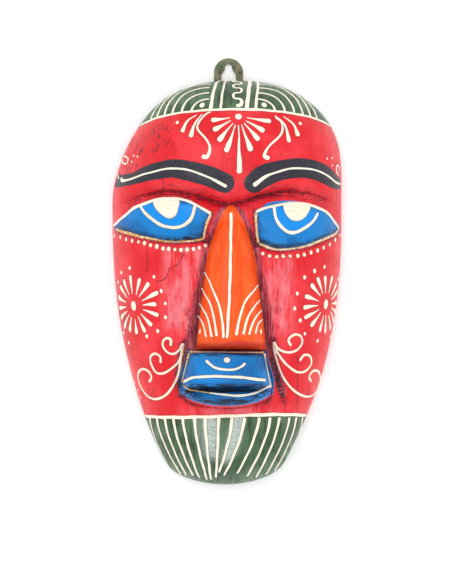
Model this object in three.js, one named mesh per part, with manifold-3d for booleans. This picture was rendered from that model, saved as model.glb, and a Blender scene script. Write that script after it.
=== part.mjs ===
// A carved wooden wall mask with a sheet-metal keyhole hanger, lying on its flat back.
// Millimetres. +Z is out of the face, +Y towards the crown, +X to the right of someone facing the mask.
// The origin is on the plane of the back, under the middle of the whole thing, hanger included.

import * as THREE from "three";
import { mergeVertices } from "three/addons/utils/BufferGeometryUtils.js";
import Module from "manifold-3d";

// ---------------------------------------------------------------- driving dimensions

const WOOD_LENGTH = 290; // chin to crown
const WOOD_HALF_WIDTH = 82.4; // at the temples
const DOME_DEPTH = 66; // back to brow, before the nose is added
const HANGER_PROUD = 15.3; // how far the hanger stands out past the crown

const TOTAL_LENGTH = WOOD_LENGTH + HANGER_PROUD;
const CHIN_Y = -TOTAL_LENGTH / 2;
const CROWN_Y = CHIN_Y + WOOD_LENGTH;
const WIDEST_Y = CROWN_Y - 92.4; // height of the temples

const CROWN_LEAN = 5.8; // the carver's centre line drifts to the right at the crown
const CHIN_LEAN = -1.4; // and a little to the left at the chin

const RIM_WIDTH = 15; // flat ring of wood left round the hollow
const RIM_AT_CROWN = 33; // wider there, for the hanger
const RIM_AT_CHIN = 26;
const HOLLOW_DEPTH = 40;
const HOLLOW_SINK = 0.01; // the cutter starts this far behind the back, so that it cuts clean

const HANGER_WIDTH = 20.8;
const HANGER_LENGTH = 40;
const HANGER_THICK = 1.5;
const HANGER_X = 1.1;
const HANGER_INSET = 0.4; // back of the plate, in from the back of the wood
const NAIL_SLOT_RADIUS = 2.6; // narrow top of the keyhole
const HEAD_HOLE_RADIUS = 5.2; // wide bottom of the keyhole
const NAIL_SLOT_DROP = 7.0; // from the top of the plate to the narrow circle
const HEAD_HOLE_DROP = 15.6; // and to the wide one
const NAIL_POCKET_RADIUS = 5.8; // room in the wood for the nail's head, in front of the wide hole
const NAIL_POCKET_DEPTH = 5;

const SCREW_SPACING = 10.6;
const SCREW_DROP = 32; // from the top of the plate
const SCREW_RADIUS = 1.2;
const SCREW_LENGTH = 14;
const SCREW_HEAD_RADIUS = 2.5;
const SCREW_HEAD_DEPTH = 1.1;
const SLIT_WIDTH = 0.7;
const SLIT_DEPTH = 0.5;

const GAP = 0.3; // clearance between pieces that touch
const PAST = 1; // how far a cutter runs past the face it cuts

// ---------------------------------------------------------------- small maths

const clamp = (v, lo, hi) => Math.min(Math.max(v, lo), hi);
const share = (from, to, v) => clamp((v - from) / (to - from), 0, 1);
const ease = (from, to, v) => {
  const t = share(from, to, v);
  return t * t * (3 - 2 * t);
};
const bell = (v, middle, width) => Math.exp(-(((v - middle) / width) ** 2));

// A smooth line through a few named stations [[position, value], ...], with no overshoot between them.
function through(stations) {
  const x = stations.map((s) => s[0]);
  const y = stations.map((s) => s[1]);
  const last = x.length - 1;
  const slope = x.slice(1).map((xi, i) => (y[i + 1] - y[i]) / (xi - x[i]));
  const tangent = x.map((_, i) => {
    if (i === 0) return slope[0];
    if (i === last) return slope[last - 1];
    if (slope[i - 1] * slope[i] <= 0) return 0;
    const before = x[i] - x[i - 1];
    const after = x[i + 1] - x[i];
    return (3 * (before + after)) / ((2 * after + before) / slope[i - 1] + (2 * before + after) / slope[i]);
  });
  return (at) => {
    const v = clamp(at, x[0], x[last]);
    let i = 0;
    while (i < last - 1 && v > x[i + 1]) i++;
    const h = x[i + 1] - x[i];
    const t = (v - x[i]) / h;
    return (
      (1 + 2 * t) * (1 - t) ** 2 * y[i] +
      t * (1 - t) ** 2 * h * tangent[i] +
      t * t * (3 - 2 * t) * y[i + 1] +
      t * t * (t - 1) * h * tangent[i + 1]
    );
  };
}

// ---------------------------------------------------------------- the half-log: outline and dome

const aboveTemples = (y) => share(WIDEST_Y, CROWN_Y, y);
const belowTemples = (y) => share(WIDEST_Y, CHIN_Y, y);
const archOver = (t, power) => (1 - t ** power) ** (1 / power); // a quarter of a superellipse
const chinRound = (height, power, y) => Math.sqrt(1 - share(CHIN_Y + height, CHIN_Y, y) ** power);

const CROWN_POWER = 2.4; // 2 would be an ellipse
const WIDTH_LOST = 0.59; // share of the half width gone at the chin
const WIDTH_POWER = 2.44;
const DEPTH_LOST = 0.388; // share of the depth gone at the chin
const DEPTH_POWER = 1.685;
const CHIN_CORNER = 17.6; // height of the rounding at the foot of the outline
const CHIN_FALL = 34.6; // and of the front's fall to the back plane
const ACROSS_POWER = 2.2; // section of the dome, side to side

function halfWidth(y) {
  const taper = 1 - WIDTH_LOST * belowTemples(y) ** WIDTH_POWER;
  return WOOD_HALF_WIDTH * archOver(aboveTemples(y), CROWN_POWER) * taper * chinRound(CHIN_CORNER, 2.6, y);
}

function domeDepth(y) {
  const taper = 1 - DEPTH_LOST * belowTemples(y) ** DEPTH_POWER;
  return DOME_DEPTH * archOver(aboveTemples(y), CROWN_POWER) * taper * chinRound(CHIN_FALL, 2.2, y);
}

const centreLine = (y) => CROWN_LEAN * ease(50, 110, y) + CHIN_LEAN * ease(-60, -130, y);

function dome(x, y) {
  const across = Math.min(Math.abs(x - centreLine(y)) / Math.max(halfWidth(y), 1e-6), 1);
  return domeDepth(y) * Math.sqrt(1 - across ** ACROSS_POWER);
}

// ---------------------------------------------------------------- brows and eye sockets

const FACE_X = 1.4; // middle of the brows
const creaseY = through([[0, 48.5], [8, 50.2], [22, 54.8], [42, 58], [60, 55.2], [75, 49], [86, 44]]);
const leftLidY = through([[10, 21.5], [17, 20.4], [40, 21.3], [55, 24.8], [70, 28], [86, 31]]);
const rightLidY = through([[10, 18.5], [20, 17.7], [33, 14.8], [44, 15.5], [55, 17.7], [66, 22], [86, 30]]);
const socketDepth = through([[0, 8.5], [12, 10.5], [28, 10], [45, 8], [62, 5], [76, 2.2], [86, 0.5]]);
// From the cheek, over the edge of the lower lid, up the eye and back under the brow: share of the depth.
const socketProfile = through([
  [-0.35, 0], [-0.14, 0.04], [-0.03, 0.3], [0.03, 0.62], [0.25, 0.5],
  [0.5, 0.38], [0.68, 0.42], [0.82, 0.62], [0.95, 0.9], [1, 1],
]);
const LEDGE = 7.5; // height of the rounded underside of the brow
const browY = through([[0, 60], [20, 66], [42, 71], [60, 69], [78, 60]]);
const BROW_SWELL = 2.2;
const BROW_HALF_HEIGHT = 9;

function socket(x, y) {
  const out = Math.abs(x - FACE_X);
  const crease = creaseY(out);
  if (y > crease) {
    const s = 1 - share(0, LEDGE, y - crease);
    return -socketDepth(out) * (1 - Math.sqrt(1 - s * s));
  }
  const lid = x < FACE_X ? leftLidY(out) : rightLidY(out);
  return -socketDepth(out) * socketProfile((y - lid) / (crease - lid));
}

function brow(x, y) {
  const out = Math.abs(x - FACE_X);
  return BROW_SWELL * bell(y, browY(out), BROW_HALF_HEIGHT) * ease(2, 16, out);
}

// ---------------------------------------------------------------- nose

const NOSE_X = 2.9;
const NOSE_TOP = 48;
const NOSE_FOOT = -55.5;
const noseHalf = through([
  [-60, 25.6], [-50, 25], [-20, 21.8], [3, 18.9], [11, 17.6], [28, 12.7], [41, 6.8], [48, 2],
]);
const noseRidge = through([
  [-55.5, 56], [-54, 61], [-52, 72], [-49.5, 77.5], [-45, 80],
  [-38, 80.5], [-13, 77], [23, 67], [40, 59.5], [48, 54],
]);
const NOSE_ROOT = 48; // height its sides start from
const NOSE_POWER = 2.6; // section of the nose: rounded top, steep sides

function nose(x, y) {
  const across = Math.abs(x - NOSE_X) / noseHalf(y);
  if (y < NOSE_FOOT || y > NOSE_TOP || across >= 1) return 0;
  return NOSE_ROOT + (noseRidge(y) - NOSE_ROOT) * Math.sqrt(1 - across ** NOSE_POWER);
}

// ---------------------------------------------------------------- mouth

const MOUTH_X = -0.4;
const MOUTH_TOP = -57;
const SLIT_Y = -84.8;
const LIP_DROP = 12.2; // from the slit to the foot of the lower lip, at the middle
const LIP_REACH = 33.5; // the lower lip's foot rises to the slit this far out
const LIP_LEAST = 0.35; // share of the drop left at the corners
const mouthHalf = through([[-99, 31], [-88, 31.5], [-79, 32.6], [-74, 31.6], [-58, 27.2], [-56, 27]]);
// Chin, lower lip, slit, upper lip and the slope above it: [height over the slit, height over the back].
const mouthProfile = through([
  [-13.4, 52], [-12.2, 57], [-9.5, 64.5], [-5.5, 67.2], [-1.5, 63.5], [0, 61],
  [1.4, 62.5], [3.3, 68.2], [7.3, 70.5], [12.8, 68.5], [22.8, 64], [26.6, 62.3], [27.8, 58],
]);
const MOUTH_ROOT = 46;
const MOUTH_BOW = 3; // the lips curve back towards their corners
const MOUTH_POWER = 5; // section of the mouth: a block with rounded edges
const TOUCH = 1e-6; // a row of the net on an edge counts as inside it

function lowerLip(x) {
  const out = Math.min(Math.abs(x - MOUTH_X) / LIP_REACH, 1);
  return Math.max(Math.sqrt(1 - out * out), LIP_LEAST);
}

function mouth(x, y) {
  const across = Math.abs(x - MOUTH_X) / mouthHalf(y);
  const overSlit = y < SLIT_Y ? (y - SLIT_Y) / lowerLip(x) : y - SLIT_Y;
  if (overSlit < -LIP_DROP - TOUCH || y > MOUTH_TOP || across >= 1) return 0;
  const rise = (mouthProfile(overSlit) - MOUTH_ROOT) * Math.sqrt(1 - across ** MOUTH_POWER);
  return MOUTH_ROOT + rise - MOUTH_BOW * across ** 2;
}

// ---------------------------------------------------------------- cheeks, and grooves beside nose and mouth

const CHEEK_SWELL = 2.6;
const CHANNEL_DEPTH = 6; // scooped out on each side of the nose
const CHANNEL_WIDTH = 7.5;
const GROOVE_DEPTH = 4;
const rightGrooveX = through([[-94, 42], [-74, 36], [-56, 31], [-40, 27]]);
const leftGrooveX = through([[-88, -36.5], [-74, -35], [-56, -31], [-40, -24]]);

const CHEEK_OUT = 42;
const cheek = (x, y) =>
  CHEEK_SWELL * bell(Math.abs(x - FACE_X), CHEEK_OUT, 17) * ease(20, -5, y) * ease(-110, -60, y);

function channel(x, y) {
  const beside = Math.max(Math.abs(x - NOSE_X) - noseHalf(y), 0);
  return -CHANNEL_DEPTH * Math.exp(-((beside / CHANNEL_WIDTH) ** 1.4)) * ease(46, 22, y) * ease(-108, -70, y);
}

function grooves(x, y) {
  const along = ease(-95, -78, y) * ease(-40, -55, y);
  return -GROOVE_DEPTH * along * (bell(x, rightGrooveX(y), 3.2) + 0.7 * bell(x, leftGrooveX(y), 3.4));
}

function faceHeight(x, y) {
  const ground = dome(x, y) + socket(x, y) + brow(x, y) + cheek(x, y) + channel(x, y) + grooves(x, y);
  return Math.max(ground, nose(x, y), mouth(x, y), 0);
}

// ---------------------------------------------------------------- skins: a sphere's net moved to the surface

// The net has its poles at crown and chin. Its columns cross the front; the last one closes the flat back.
function skin(columns, rows, place) {
  const geometry = new THREE.SphereGeometry(1, columns + 1, rows);
  const { position, uv } = geometry.attributes;
  for (let i = 0; i < position.count; i++) {
    const column = Math.round(uv.getX(i) * (columns + 1)) % (columns + 1);
    const row = Math.round((1 - uv.getY(i)) * rows);
    position.setXYZ(i, ...place(column, row));
  }
  return mergeVertices(bare(geometry), 1e-4);
}

function bare(geometry) {
  geometry.deleteAttribute("normal");
  geometry.deleteAttribute("uv");
  return geometry;
}

// Row heights, crown to chin: bands of [top, bottom, rows], closer together where the carving is fine.
const CREASE_ROW = 53;
const CHIN_ROW = -118;
const BANDS = [
  [106, 63, 7],
  [63, 54, 4],
  [54, CREASE_ROW, 1],
  [CREASE_ROW, 49, 3],
  [49, 12, 11],
  [12, -44, 11],
  [-44, NOSE_FOOT, 7],
  [NOSE_FOOT, MOUTH_TOP, 1],
  [MOUTH_TOP, -59, 1],
  [-59, -78, 4],
  [-78, SLIT_Y, 6],
  [SLIT_Y, SLIT_Y - LIP_DROP, 7],
  [SLIT_Y - LIP_DROP, -98.4, 1],
  [-98.4, CHIN_ROW, 4],
];
const POLE_ROWS = 8;

function rowHeights() {
  const quarter = (i) => ((i / POLE_ROWS) * Math.PI) / 2;
  const crownBand = BANDS[0][0];
  const chinBand = BANDS.at(-1)[1];
  const heights = [];
  for (let i = 0; i < POLE_ROWS; i++) heights.push(crownBand + (CROWN_Y - crownBand) * Math.cos(quarter(i)));
  for (const [top, bottom, rows] of BANDS)
    for (let i = 0; i < rows; i++) heights.push(top + ((bottom - top) * i) / rows);
  for (let i = 0; i <= POLE_ROWS; i++) heights.push(chinBand + (CHIN_Y - chinBand) * Math.sin(quarter(i)));
  return heights;
}

// The middle columns keep to the sides of nose and mouth, and a narrow column on each side makes their wall.
const SIDE_COLUMNS = 12;
const MIDDLE_COLUMNS = 13;
const COLUMNS = 2 * SIDE_COLUMNS + MIDDLE_COLUMNS + 2;
const WALL = 0.9; // half the width of a wall column
const blockHalf = through([
  [CHIN_ROW, 24], [-99, 31], [-88, 31.5], [-79, 32.6], [-74, 31.6], [-58, 27.2], [MOUTH_TOP, 27],
  [NOSE_FOOT, 25.4], [-50, 25], [-20, 21.8], [3, 18.9], [11, 17.6], [28, 12.7],
  [41, 8.5], [48, 7.5], [70, 14],
]);
const blockX = through([
  [CHIN_ROW, 0], [-99, MOUTH_X], [MOUTH_TOP, MOUTH_X], [NOSE_FOOT, NOSE_X], [60, NOSE_X], [90, CROWN_LEAN],
]);
const MOST_BLOCK = 0.5; // share of the outline's half width
const SIDE_POWER = 1.1; // spreads the side columns between rim and block

function columnX(column, y) {
  const half = Math.max(halfWidth(y), TOUCH);
  const middle = centreLine(y);
  const block = Math.min(blockHalf(y), MOST_BLOCK * half);
  const blockMiddle = middle + (blockX(y) - middle) * (block / blockHalf(y));
  if (column > COLUMNS / 2) return middle + columnSide(COLUMNS - column, half, block, middle - blockMiddle);
  return middle - columnSide(column, half, block, blockMiddle - middle);
}

// How far a column lies to one side of the centre line. The block is set over by shift to the other side.
function columnSide(column, half, block, shift) {
  const wall = Math.min(WALL, 0.1 * block);
  if (column <= SIDE_COLUMNS) {
    const edge = clamp((block + wall - shift) / half, 0, 1);
    const angle = (column / SIDE_COLUMNS) * Math.acos(edge ** SIDE_POWER);
    return half * Math.cos(angle) ** (1 / SIDE_POWER);
  }
  const inner = (column - SIDE_COLUMNS - 1) / MIDDLE_COLUMNS;
  return (block - wall) * Math.cos(Math.PI * inner) - shift;
}

// Rows bend with the crease under the brows and with the foot of the lower lip.
function bentRow(x, height) {
  if (height > 0) {
    const bend = creaseY(Math.abs(x - FACE_X)) - CREASE_ROW;
    return height + bend * ease(88, 62, height) * ease(14, 40, height);
  }
  const below = SLIT_Y - height;
  if (below <= 0) return height;
  const fade = ease(CHIN_ROW, SLIT_Y - LIP_DROP, height);
  return height + Math.min(below, LIP_DROP) * (1 - lowerLip(x)) * fade;
}

function carvedSkin() {
  const heights = rowHeights();
  const rows = heights.length - 1;
  return skin(COLUMNS, rows, (column, row) => {
    const height = heights[row];
    const y = bentRow(columnX(column, height), height);
    const x = columnX(column, y);
    const onRim = column % COLUMNS === 0 || row % rows === 0;
    return [x, y, onRim ? 0 : faceHeight(x, y)];
  });
}

// The hollow behind the face: a plain dome whose rim is inset from the outline, in a net of its own.
const HOLLOW_COLUMNS = 18;
const HOLLOW_ROWS = 20;
const HOLLOW_SHALLOWER = 0.25; // share of the depth gone at the chin
const HOLLOW_END = 0.6; // bluntness of its ends
const HOLLOW_SIDE = 0.8; // and of its sides

function hollowSkin() {
  const top = CROWN_Y - RIM_AT_CROWN;
  const bottom = CHIN_Y + RIM_AT_CHIN;
  return skin(HOLLOW_COLUMNS, HOLLOW_ROWS, (column, row) => {
    const turn = (Math.PI * row) / HOLLOW_ROWS;
    const y = (top + bottom) / 2 + ((top - bottom) / 2) * Math.cos(turn);
    const round = Math.sin(turn) ** HOLLOW_END;
    const angle = (Math.PI * column) / HOLLOW_COLUMNS;
    const x = centreLine(y) - (halfWidth(y) - RIM_WIDTH) * round * Math.cos(angle);
    const depth = HOLLOW_DEPTH * (1 - HOLLOW_SHALLOWER * belowTemples(y));
    return [x, y, depth * round * Math.sin(angle) ** HOLLOW_SIDE];
  });
}

// ---------------------------------------------------------------- solids

const wasm = await Module();
wasm.setup();

function solid(geometry) {
  const merged = mergeVertices(geometry, 1e-4);
  return new wasm.Manifold(
    new wasm.Mesh({
      numProp: 3,
      vertProperties: new Float32Array(merged.attributes.position.array),
      triVerts: new Uint32Array(merged.index.array),
    }),
  );
}

function geometryOf(manifold) {
  const mesh = manifold.getMesh();
  return new THREE.BufferGeometry()
    .setAttribute("position", new THREE.BufferAttribute(mesh.vertProperties, 3))
    .setIndex(new THREE.BufferAttribute(mesh.triVerts, 1));
}

const box = (wide, long, high, x, y, z) =>
  solid(bare(new THREE.BoxGeometry(wide, long, high).translate(x, y, z)));

// A round bar along Z from its lower end, with its own radius at each end.
const bar = (lowRadius, highRadius, length, sides, x, y, z) =>
  solid(
    bare(
      new THREE.CylinderGeometry(highRadius, lowRadius, length, sides)
        .rotateX(Math.PI / 2)
        .translate(x, y, z + length / 2),
    ),
  );

const PLATE_TOP = CROWN_Y + HANGER_PROUD;
const PLATE_MIDDLE_Y = PLATE_TOP - HANGER_LENGTH / 2;
const SCREW_Y = PLATE_TOP - SCREW_DROP;
const HEAD_HOLE_Y = PLATE_TOP - HEAD_HOLE_DROP;

// A flat strip with round ends, standing on z = base.
function strip(width, length, base, thick) {
  const radius = width / 2;
  const straight = length / 2 - radius;
  const shape = new THREE.Shape();
  shape.absarc(0, straight, radius, 0, Math.PI);
  shape.absarc(0, -straight, radius, Math.PI, 2 * Math.PI);
  const flat = { depth: thick, bevelEnabled: false, curveSegments: 14 };
  return solid(bare(new THREE.ExtrudeGeometry(shape, flat).translate(HANGER_X, PLATE_MIDDLE_Y, base)));
}

function keyhole() {
  const narrowY = PLATE_TOP - NAIL_SLOT_DROP;
  const lean = Math.asin((HEAD_HOLE_RADIUS - NAIL_SLOT_RADIUS) / (narrowY - HEAD_HOLE_Y));
  const shape = new THREE.Shape();
  shape.absarc(HANGER_X, narrowY, NAIL_SLOT_RADIUS, lean, Math.PI - lean);
  shape.absarc(HANGER_X, HEAD_HOLE_Y, HEAD_HOLE_RADIUS, Math.PI - lean, 2 * Math.PI + lean);
  const cut = { depth: HANGER_THICK + 2 * PAST, bevelEnabled: false, curveSegments: 12 };
  return solid(bare(new THREE.ExtrudeGeometry(shape, cut).translate(0, 0, HANGER_INSET - PAST)));
}

const SCREW_SUNK = 0.1; // face of the head, in from the back of the plate

const SCREW_TIP_RADIUS = SCREW_RADIUS / 2;

function screwParts(side, grow) {
  const x = HANGER_X + (side * SCREW_SPACING) / 2;
  const head = HANGER_INSET + SCREW_SUNK - grow;
  const length = SCREW_LENGTH + 2 * grow;
  const shank = bar(SCREW_RADIUS + grow, SCREW_TIP_RADIUS + grow, length, 12, x, SCREW_Y, head);
  const coneLength = SCREW_HEAD_DEPTH + grow;
  const cone = bar(SCREW_HEAD_RADIUS + grow, SCREW_RADIUS + grow, coneLength, 20, x, SCREW_Y, head);
  return { x, head, shank, cone };
}

function hangerPlate() {
  let plate = strip(HANGER_WIDTH, HANGER_LENGTH, HANGER_INSET, HANGER_THICK).subtract(keyhole());
  for (const side of [-1, 1]) {
    const { shank, cone } = screwParts(side, GAP);
    plate = plate.subtract(shank).subtract(cone);
  }
  return plate;
}

function screw(side) {
  const { x, head, shank, cone } = screwParts(side, 0);
  const slit = box(3 * SCREW_HEAD_RADIUS, SLIT_WIDTH, 2 * SLIT_DEPTH, x, SCREW_Y, head);
  return shank.add(cone).subtract(slit);
}

function wood() {
  const recessTop = HANGER_INSET + HANGER_THICK + GAP;
  const recess = strip(HANGER_WIDTH + 2 * GAP, HANGER_LENGTH + 2 * GAP, -PAST, recessTop + PAST);
  const pocketDeep = NAIL_POCKET_DEPTH + PAST;
  const pocket = bar(
    NAIL_POCKET_RADIUS, NAIL_POCKET_RADIUS, pocketDeep, 32, HANGER_X, HEAD_HOLE_Y, recessTop - PAST,
  );
  const hollow = solid(hollowSkin().translate(0, 0, -HOLLOW_SINK));
  let carved = solid(carvedSkin()).subtract(hollow).subtract(recess).subtract(pocket);
  for (const side of [-1, 1]) carved = carved.subtract(screwParts(side, GAP).shank);
  return carved;
}

// ---------------------------------------------------------------- the mask

const paintedWood = new THREE.MeshStandardMaterial({ color: 0xd8242c, roughness: 0.35, metalness: 0 });
const agedBrass = new THREE.MeshStandardMaterial({ color: 0x5c5a42, roughness: 0.55, metalness: 0.8 });
const steel = new THREE.MeshStandardMaterial({ color: 0x8a8780, roughness: 0.4, metalness: 1 });

function piece(name, manifold, material) {
  const mesh = new THREE.Mesh(geometryOf(manifold), material);
  mesh.name = name;
  return mesh;
}

const mask = new THREE.Group();
mask.add(piece("carved_face", wood(), paintedWood));
mask.add(piece("hanger_plate", hangerPlate(), agedBrass));
mask.add(piece("hanger_screw_left", screw(-1), steel));
mask.add(piece("hanger_screw_right", screw(1), steel));

export default mask;
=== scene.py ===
import math

import bmesh
import bpy
import numpy as np
from mathutils import Matrix, Vector
from mathutils.bvhtree import BVHTree
from mathutils.kdtree import KDTree


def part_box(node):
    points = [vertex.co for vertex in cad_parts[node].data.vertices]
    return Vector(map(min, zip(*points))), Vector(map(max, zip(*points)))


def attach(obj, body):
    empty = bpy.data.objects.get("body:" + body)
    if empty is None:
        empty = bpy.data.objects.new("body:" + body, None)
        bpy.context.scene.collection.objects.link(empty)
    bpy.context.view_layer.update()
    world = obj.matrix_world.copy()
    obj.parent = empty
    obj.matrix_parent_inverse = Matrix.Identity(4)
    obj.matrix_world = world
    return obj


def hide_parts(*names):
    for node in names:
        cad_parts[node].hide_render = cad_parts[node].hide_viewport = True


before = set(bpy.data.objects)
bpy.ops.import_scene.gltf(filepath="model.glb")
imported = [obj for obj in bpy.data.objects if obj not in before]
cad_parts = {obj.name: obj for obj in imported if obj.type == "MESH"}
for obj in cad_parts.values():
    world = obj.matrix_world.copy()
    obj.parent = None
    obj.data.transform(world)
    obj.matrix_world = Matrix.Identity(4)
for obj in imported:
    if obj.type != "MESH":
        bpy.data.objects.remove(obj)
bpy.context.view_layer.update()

# ------------------------------------------------------------------ the carved block
# The mask is one block of soft wood, shaped from half a log with knife and gouge and hollowed from behind.
# It is a net of points from crown to chin pushed out to the carved height, in millimetres until it is done.
MM = 0.001  # one millimetre in metres
LINE_HIGH = 0.5  # the wood lies this far inside the solid, so that the raised paint ends level with it
chin_corner, crown_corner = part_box("carved_face")
CHIN_Y = chin_corner.y / MM + LINE_HIGH
CROWN_Y = crown_corner.y / MM - LINE_HIGH
HALF_WIDTH = (crown_corner.x - chin_corner.x) / 2 / MM - LINE_HIGH
DOME_DEPTH = 66 - LINE_HIGH
WIDEST_Y = CROWN_Y - 91.9
CROWN_LEAN = 5.8
CHIN_LEAN = -1.4
CROWN_POWER = 2.4  # 2 would be an ellipse
ACROSS_POWER = 2.2
WIDTH_LOST = 0.59  # share of the half width that is gone by the chin, before its end is rounded
WIDTH_POWER = 2.44
DEPTH_LOST = 0.388
DEPTH_POWER = 1.685


def share(start, end, v):
    return np.clip((v - start) / (end - start), 0, 1)


def ease(start, end, v):
    t = share(start, end, v)
    return t * t * (3 - 2 * t)


def bell(v, middle, width):
    return np.exp(-(((v - middle) / width) ** 2))


def through(*stations):
    """A smooth line through (position, value) stations, with no overshoot between them."""
    at, value = np.array(stations, float).T
    step = np.diff(at)
    slope = np.diff(value) / step
    tangent = np.concatenate(([slope[0]], np.zeros(len(slope) - 1), [slope[-1]]))
    for i in range(1, len(slope)):
        if slope[i - 1] * slope[i] > 0:
            before, after = step[i - 1], step[i]
            weights = (2 * after + before) / slope[i - 1] + (2 * before + after) / slope[i]
            tangent[i] = 3 * (before + after) / weights

    def line(v):
        v = np.clip(v, at[0], at[-1])
        i = np.clip(np.searchsorted(at, v, side="right") - 1, 0, len(step) - 1)
        t = (v - at[i]) / step[i]
        return (
            (1 + 2 * t) * (1 - t) ** 2 * value[i]
            + t * (1 - t) ** 2 * step[i] * tangent[i]
            + t * t * (3 - 2 * t) * value[i + 1]
            + t * t * (t - 1) * step[i] * tangent[i + 1]
        )

    return line


def chin_round(height, power, y):
    return np.sqrt(1 - share(CHIN_Y + height, CHIN_Y, y) ** power)


def crown_arch(y):
    return (1 - share(WIDEST_Y, CROWN_Y, y) ** CROWN_POWER) ** (1 / CROWN_POWER)


def half_width(y):
    taper = 1 - WIDTH_LOST * share(WIDEST_Y, CHIN_Y, y) ** WIDTH_POWER
    return HALF_WIDTH * crown_arch(y) * taper * chin_round(17.6, 2.6, y)


def dome_depth(y):
    taper = 1 - DEPTH_LOST * share(WIDEST_Y, CHIN_Y, y) ** DEPTH_POWER
    return DOME_DEPTH * crown_arch(y) * taper * chin_round(34.6, 2.2, y)


def centre_line(y):
    return CROWN_LEAN * ease(50, 110, y) + CHIN_LEAN * ease(-60, -130, y)


def dome(x, y):
    across = np.abs(x - centre_line(y)) / np.maximum(half_width(y), 1e-6)
    return dome_depth(y) * np.sqrt(1 - np.minimum(across, 1) ** ACROSS_POWER)


FACE_X = 1.4  # the eyes and brows are carved about this line
LEDGE = 7.5  # height of the ledge under the brow, over the crease
crease_y = through((0, 48.5), (8, 50.2), (22, 54.8), (42, 58), (60, 55.2), (75, 49), (86, 44))
left_lid_y = through((10, 21.5), (17, 20.4), (40, 21.3), (55, 24.8), (70, 28), (86, 31))
right_lid_y = through((10, 18.5), (20, 17.7), (33, 14.8), (44, 15.5), (55, 17.7), (66, 22), (86, 30))
socket_depth = through((0, 8.5), (12, 10.5), (28, 10), (45, 8), (62, 5), (76, 2.2), (86, 0.5))
socket_profile = through(
    (-0.35, 0), (-0.14, 0.04), (-0.03, 0.3), (0.03, 0.62), (0.25, 0.5),
    (0.5, 0.38), (0.68, 0.42), (0.82, 0.62), (0.95, 0.9), (1, 1),
)
brow_y = through((0, 60), (20, 66), (42, 71), (60, 69), (78, 60))


def socket(x, y):
    out = np.abs(x - FACE_X)
    crease = crease_y(out)
    under = 1 - share(0, LEDGE, y - crease)
    ledge = 1 - np.sqrt(1 - under * under)
    lid = np.where(x < FACE_X, left_lid_y(out), right_lid_y(out))
    eye = socket_profile((y - lid) / (crease - lid))
    return -socket_depth(out) * np.where(y > crease, ledge, eye)


def brow_swell(x, y):
    out = np.abs(x - FACE_X)
    return 2.2 * bell(y, brow_y(out), 9) * ease(2, 16, out)


NOSE_X = 2.9
NOSE_TOP = 48
NOSE_FOOT = -55.5
NOSE_ROOT = 48  # the height that the nose rises from
nose_half = through(
    (-60, 25.6), (-50, 25), (-20, 21.8), (3, 18.9), (11, 17.6), (28, 12.7), (41, 6.8), (48, 2)
)
nose_ridge = through(
    (-55.5, 56), (-54, 61), (-52, 72), (-49.5, 77.5), (-45, 80),
    (-38, 80.5), (-13, 77), (23, 67), (40, 59.5), (48, 54),
)


def nose(x, y):
    across = np.abs(x - NOSE_X) / nose_half(y)
    rise = nose_ridge(y) - LINE_HIGH - NOSE_ROOT
    height = NOSE_ROOT + rise * np.sqrt(1 - np.minimum(across, 1) ** 2.6)
    return np.where((y < NOSE_FOOT) | (y > NOSE_TOP) | (across >= 1), 0, height)


MOUTH_X = -0.4
MOUTH_TOP = -57
SLIT_Y = -84.8
LIP_DROP = 12.2
LIP_REACH = 33.5
MOUTH_ROOT = 46
mouth_half = through((-99, 31), (-88, 31.5), (-79, 32.6), (-74, 31.6), (-58, 27.2), (-56, 27))
mouth_profile = through(
    (-13.4, 52), (-12.2, 57), (-9.5, 64.5), (-5.5, 67.2), (-1.5, 63.5), (0, 60),
    (1.4, 62.5), (3.3, 68.2), (7.3, 70.5), (12.8, 68.5), (22.8, 64), (26.6, 62.3), (27.8, 58),
)


def lower_lip(x):
    out = np.minimum(np.abs(x - MOUTH_X) / LIP_REACH, 1)
    return np.maximum(np.sqrt(1 - out * out), 0.35)


def over_slit(x, y):
    return np.where(y < SLIT_Y, (y - SLIT_Y) / lower_lip(x), y - SLIT_Y)


def mouth(x, y):
    across = np.minimum(np.abs(x - MOUTH_X) / mouth_half(y), 1)
    level = over_slit(x, y)
    rise = (mouth_profile(level) - LINE_HIGH - MOUTH_ROOT) * np.sqrt(1 - across**5)
    outside = (level < -LIP_DROP - 1e-6) | (y > MOUTH_TOP) | (across >= 1)
    return np.where(outside, 0, MOUTH_ROOT + rise - 3 * across**2)


right_groove_x = through((-94, 42), (-74, 36), (-56, 31), (-40, 27))
left_groove_x = through((-88, -36.5), (-74, -35), (-56, -31), (-40, -24))


def cheek(x, y):
    return 2.6 * bell(np.abs(x - FACE_X), 42, 17) * ease(20, -5, y) * ease(-110, -60, y)


def beside_nose(x, y):
    """How far a point lies outside the side of the nose."""
    return np.abs(x - NOSE_X) - nose_half(y)


def channel(x, y):
    beside = np.maximum(beside_nose(x, y), 0)
    return -6 * np.exp(-((beside / 7.5) ** 1.4)) * ease(46, 22, y) * ease(-108, -70, y)


def grooves(x, y):
    along = ease(-95, -78, y) * ease(-40, -55, y)
    return -4 * along * (bell(x, right_groove_x(y), 3.2) + 0.7 * bell(x, left_groove_x(y), 3.4))


def scallops(x, y, wide, long, seed):
    """Gouge cuts of that width and length: 0 at the middle of a cut, about 0.5 where cuts meet."""
    size = 64
    place = np.random.default_rng(seed).random((size, size, 2)) * 0.7 + 0.15
    u, v = x / wide, y / long
    best = np.full(np.shape(u), 9.0)
    for across in (-1, 0, 1):
        for along in (-1, 0, 1):
            i = np.floor(u).astype(int) + across
            j = np.floor(v).astype(int) + along
            middle = place[i % size, j % size]
            best = np.minimum(best, (i + middle[..., 0] - u) ** 2 + (j + middle[..., 1] - v) ** 2)
    return best


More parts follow.
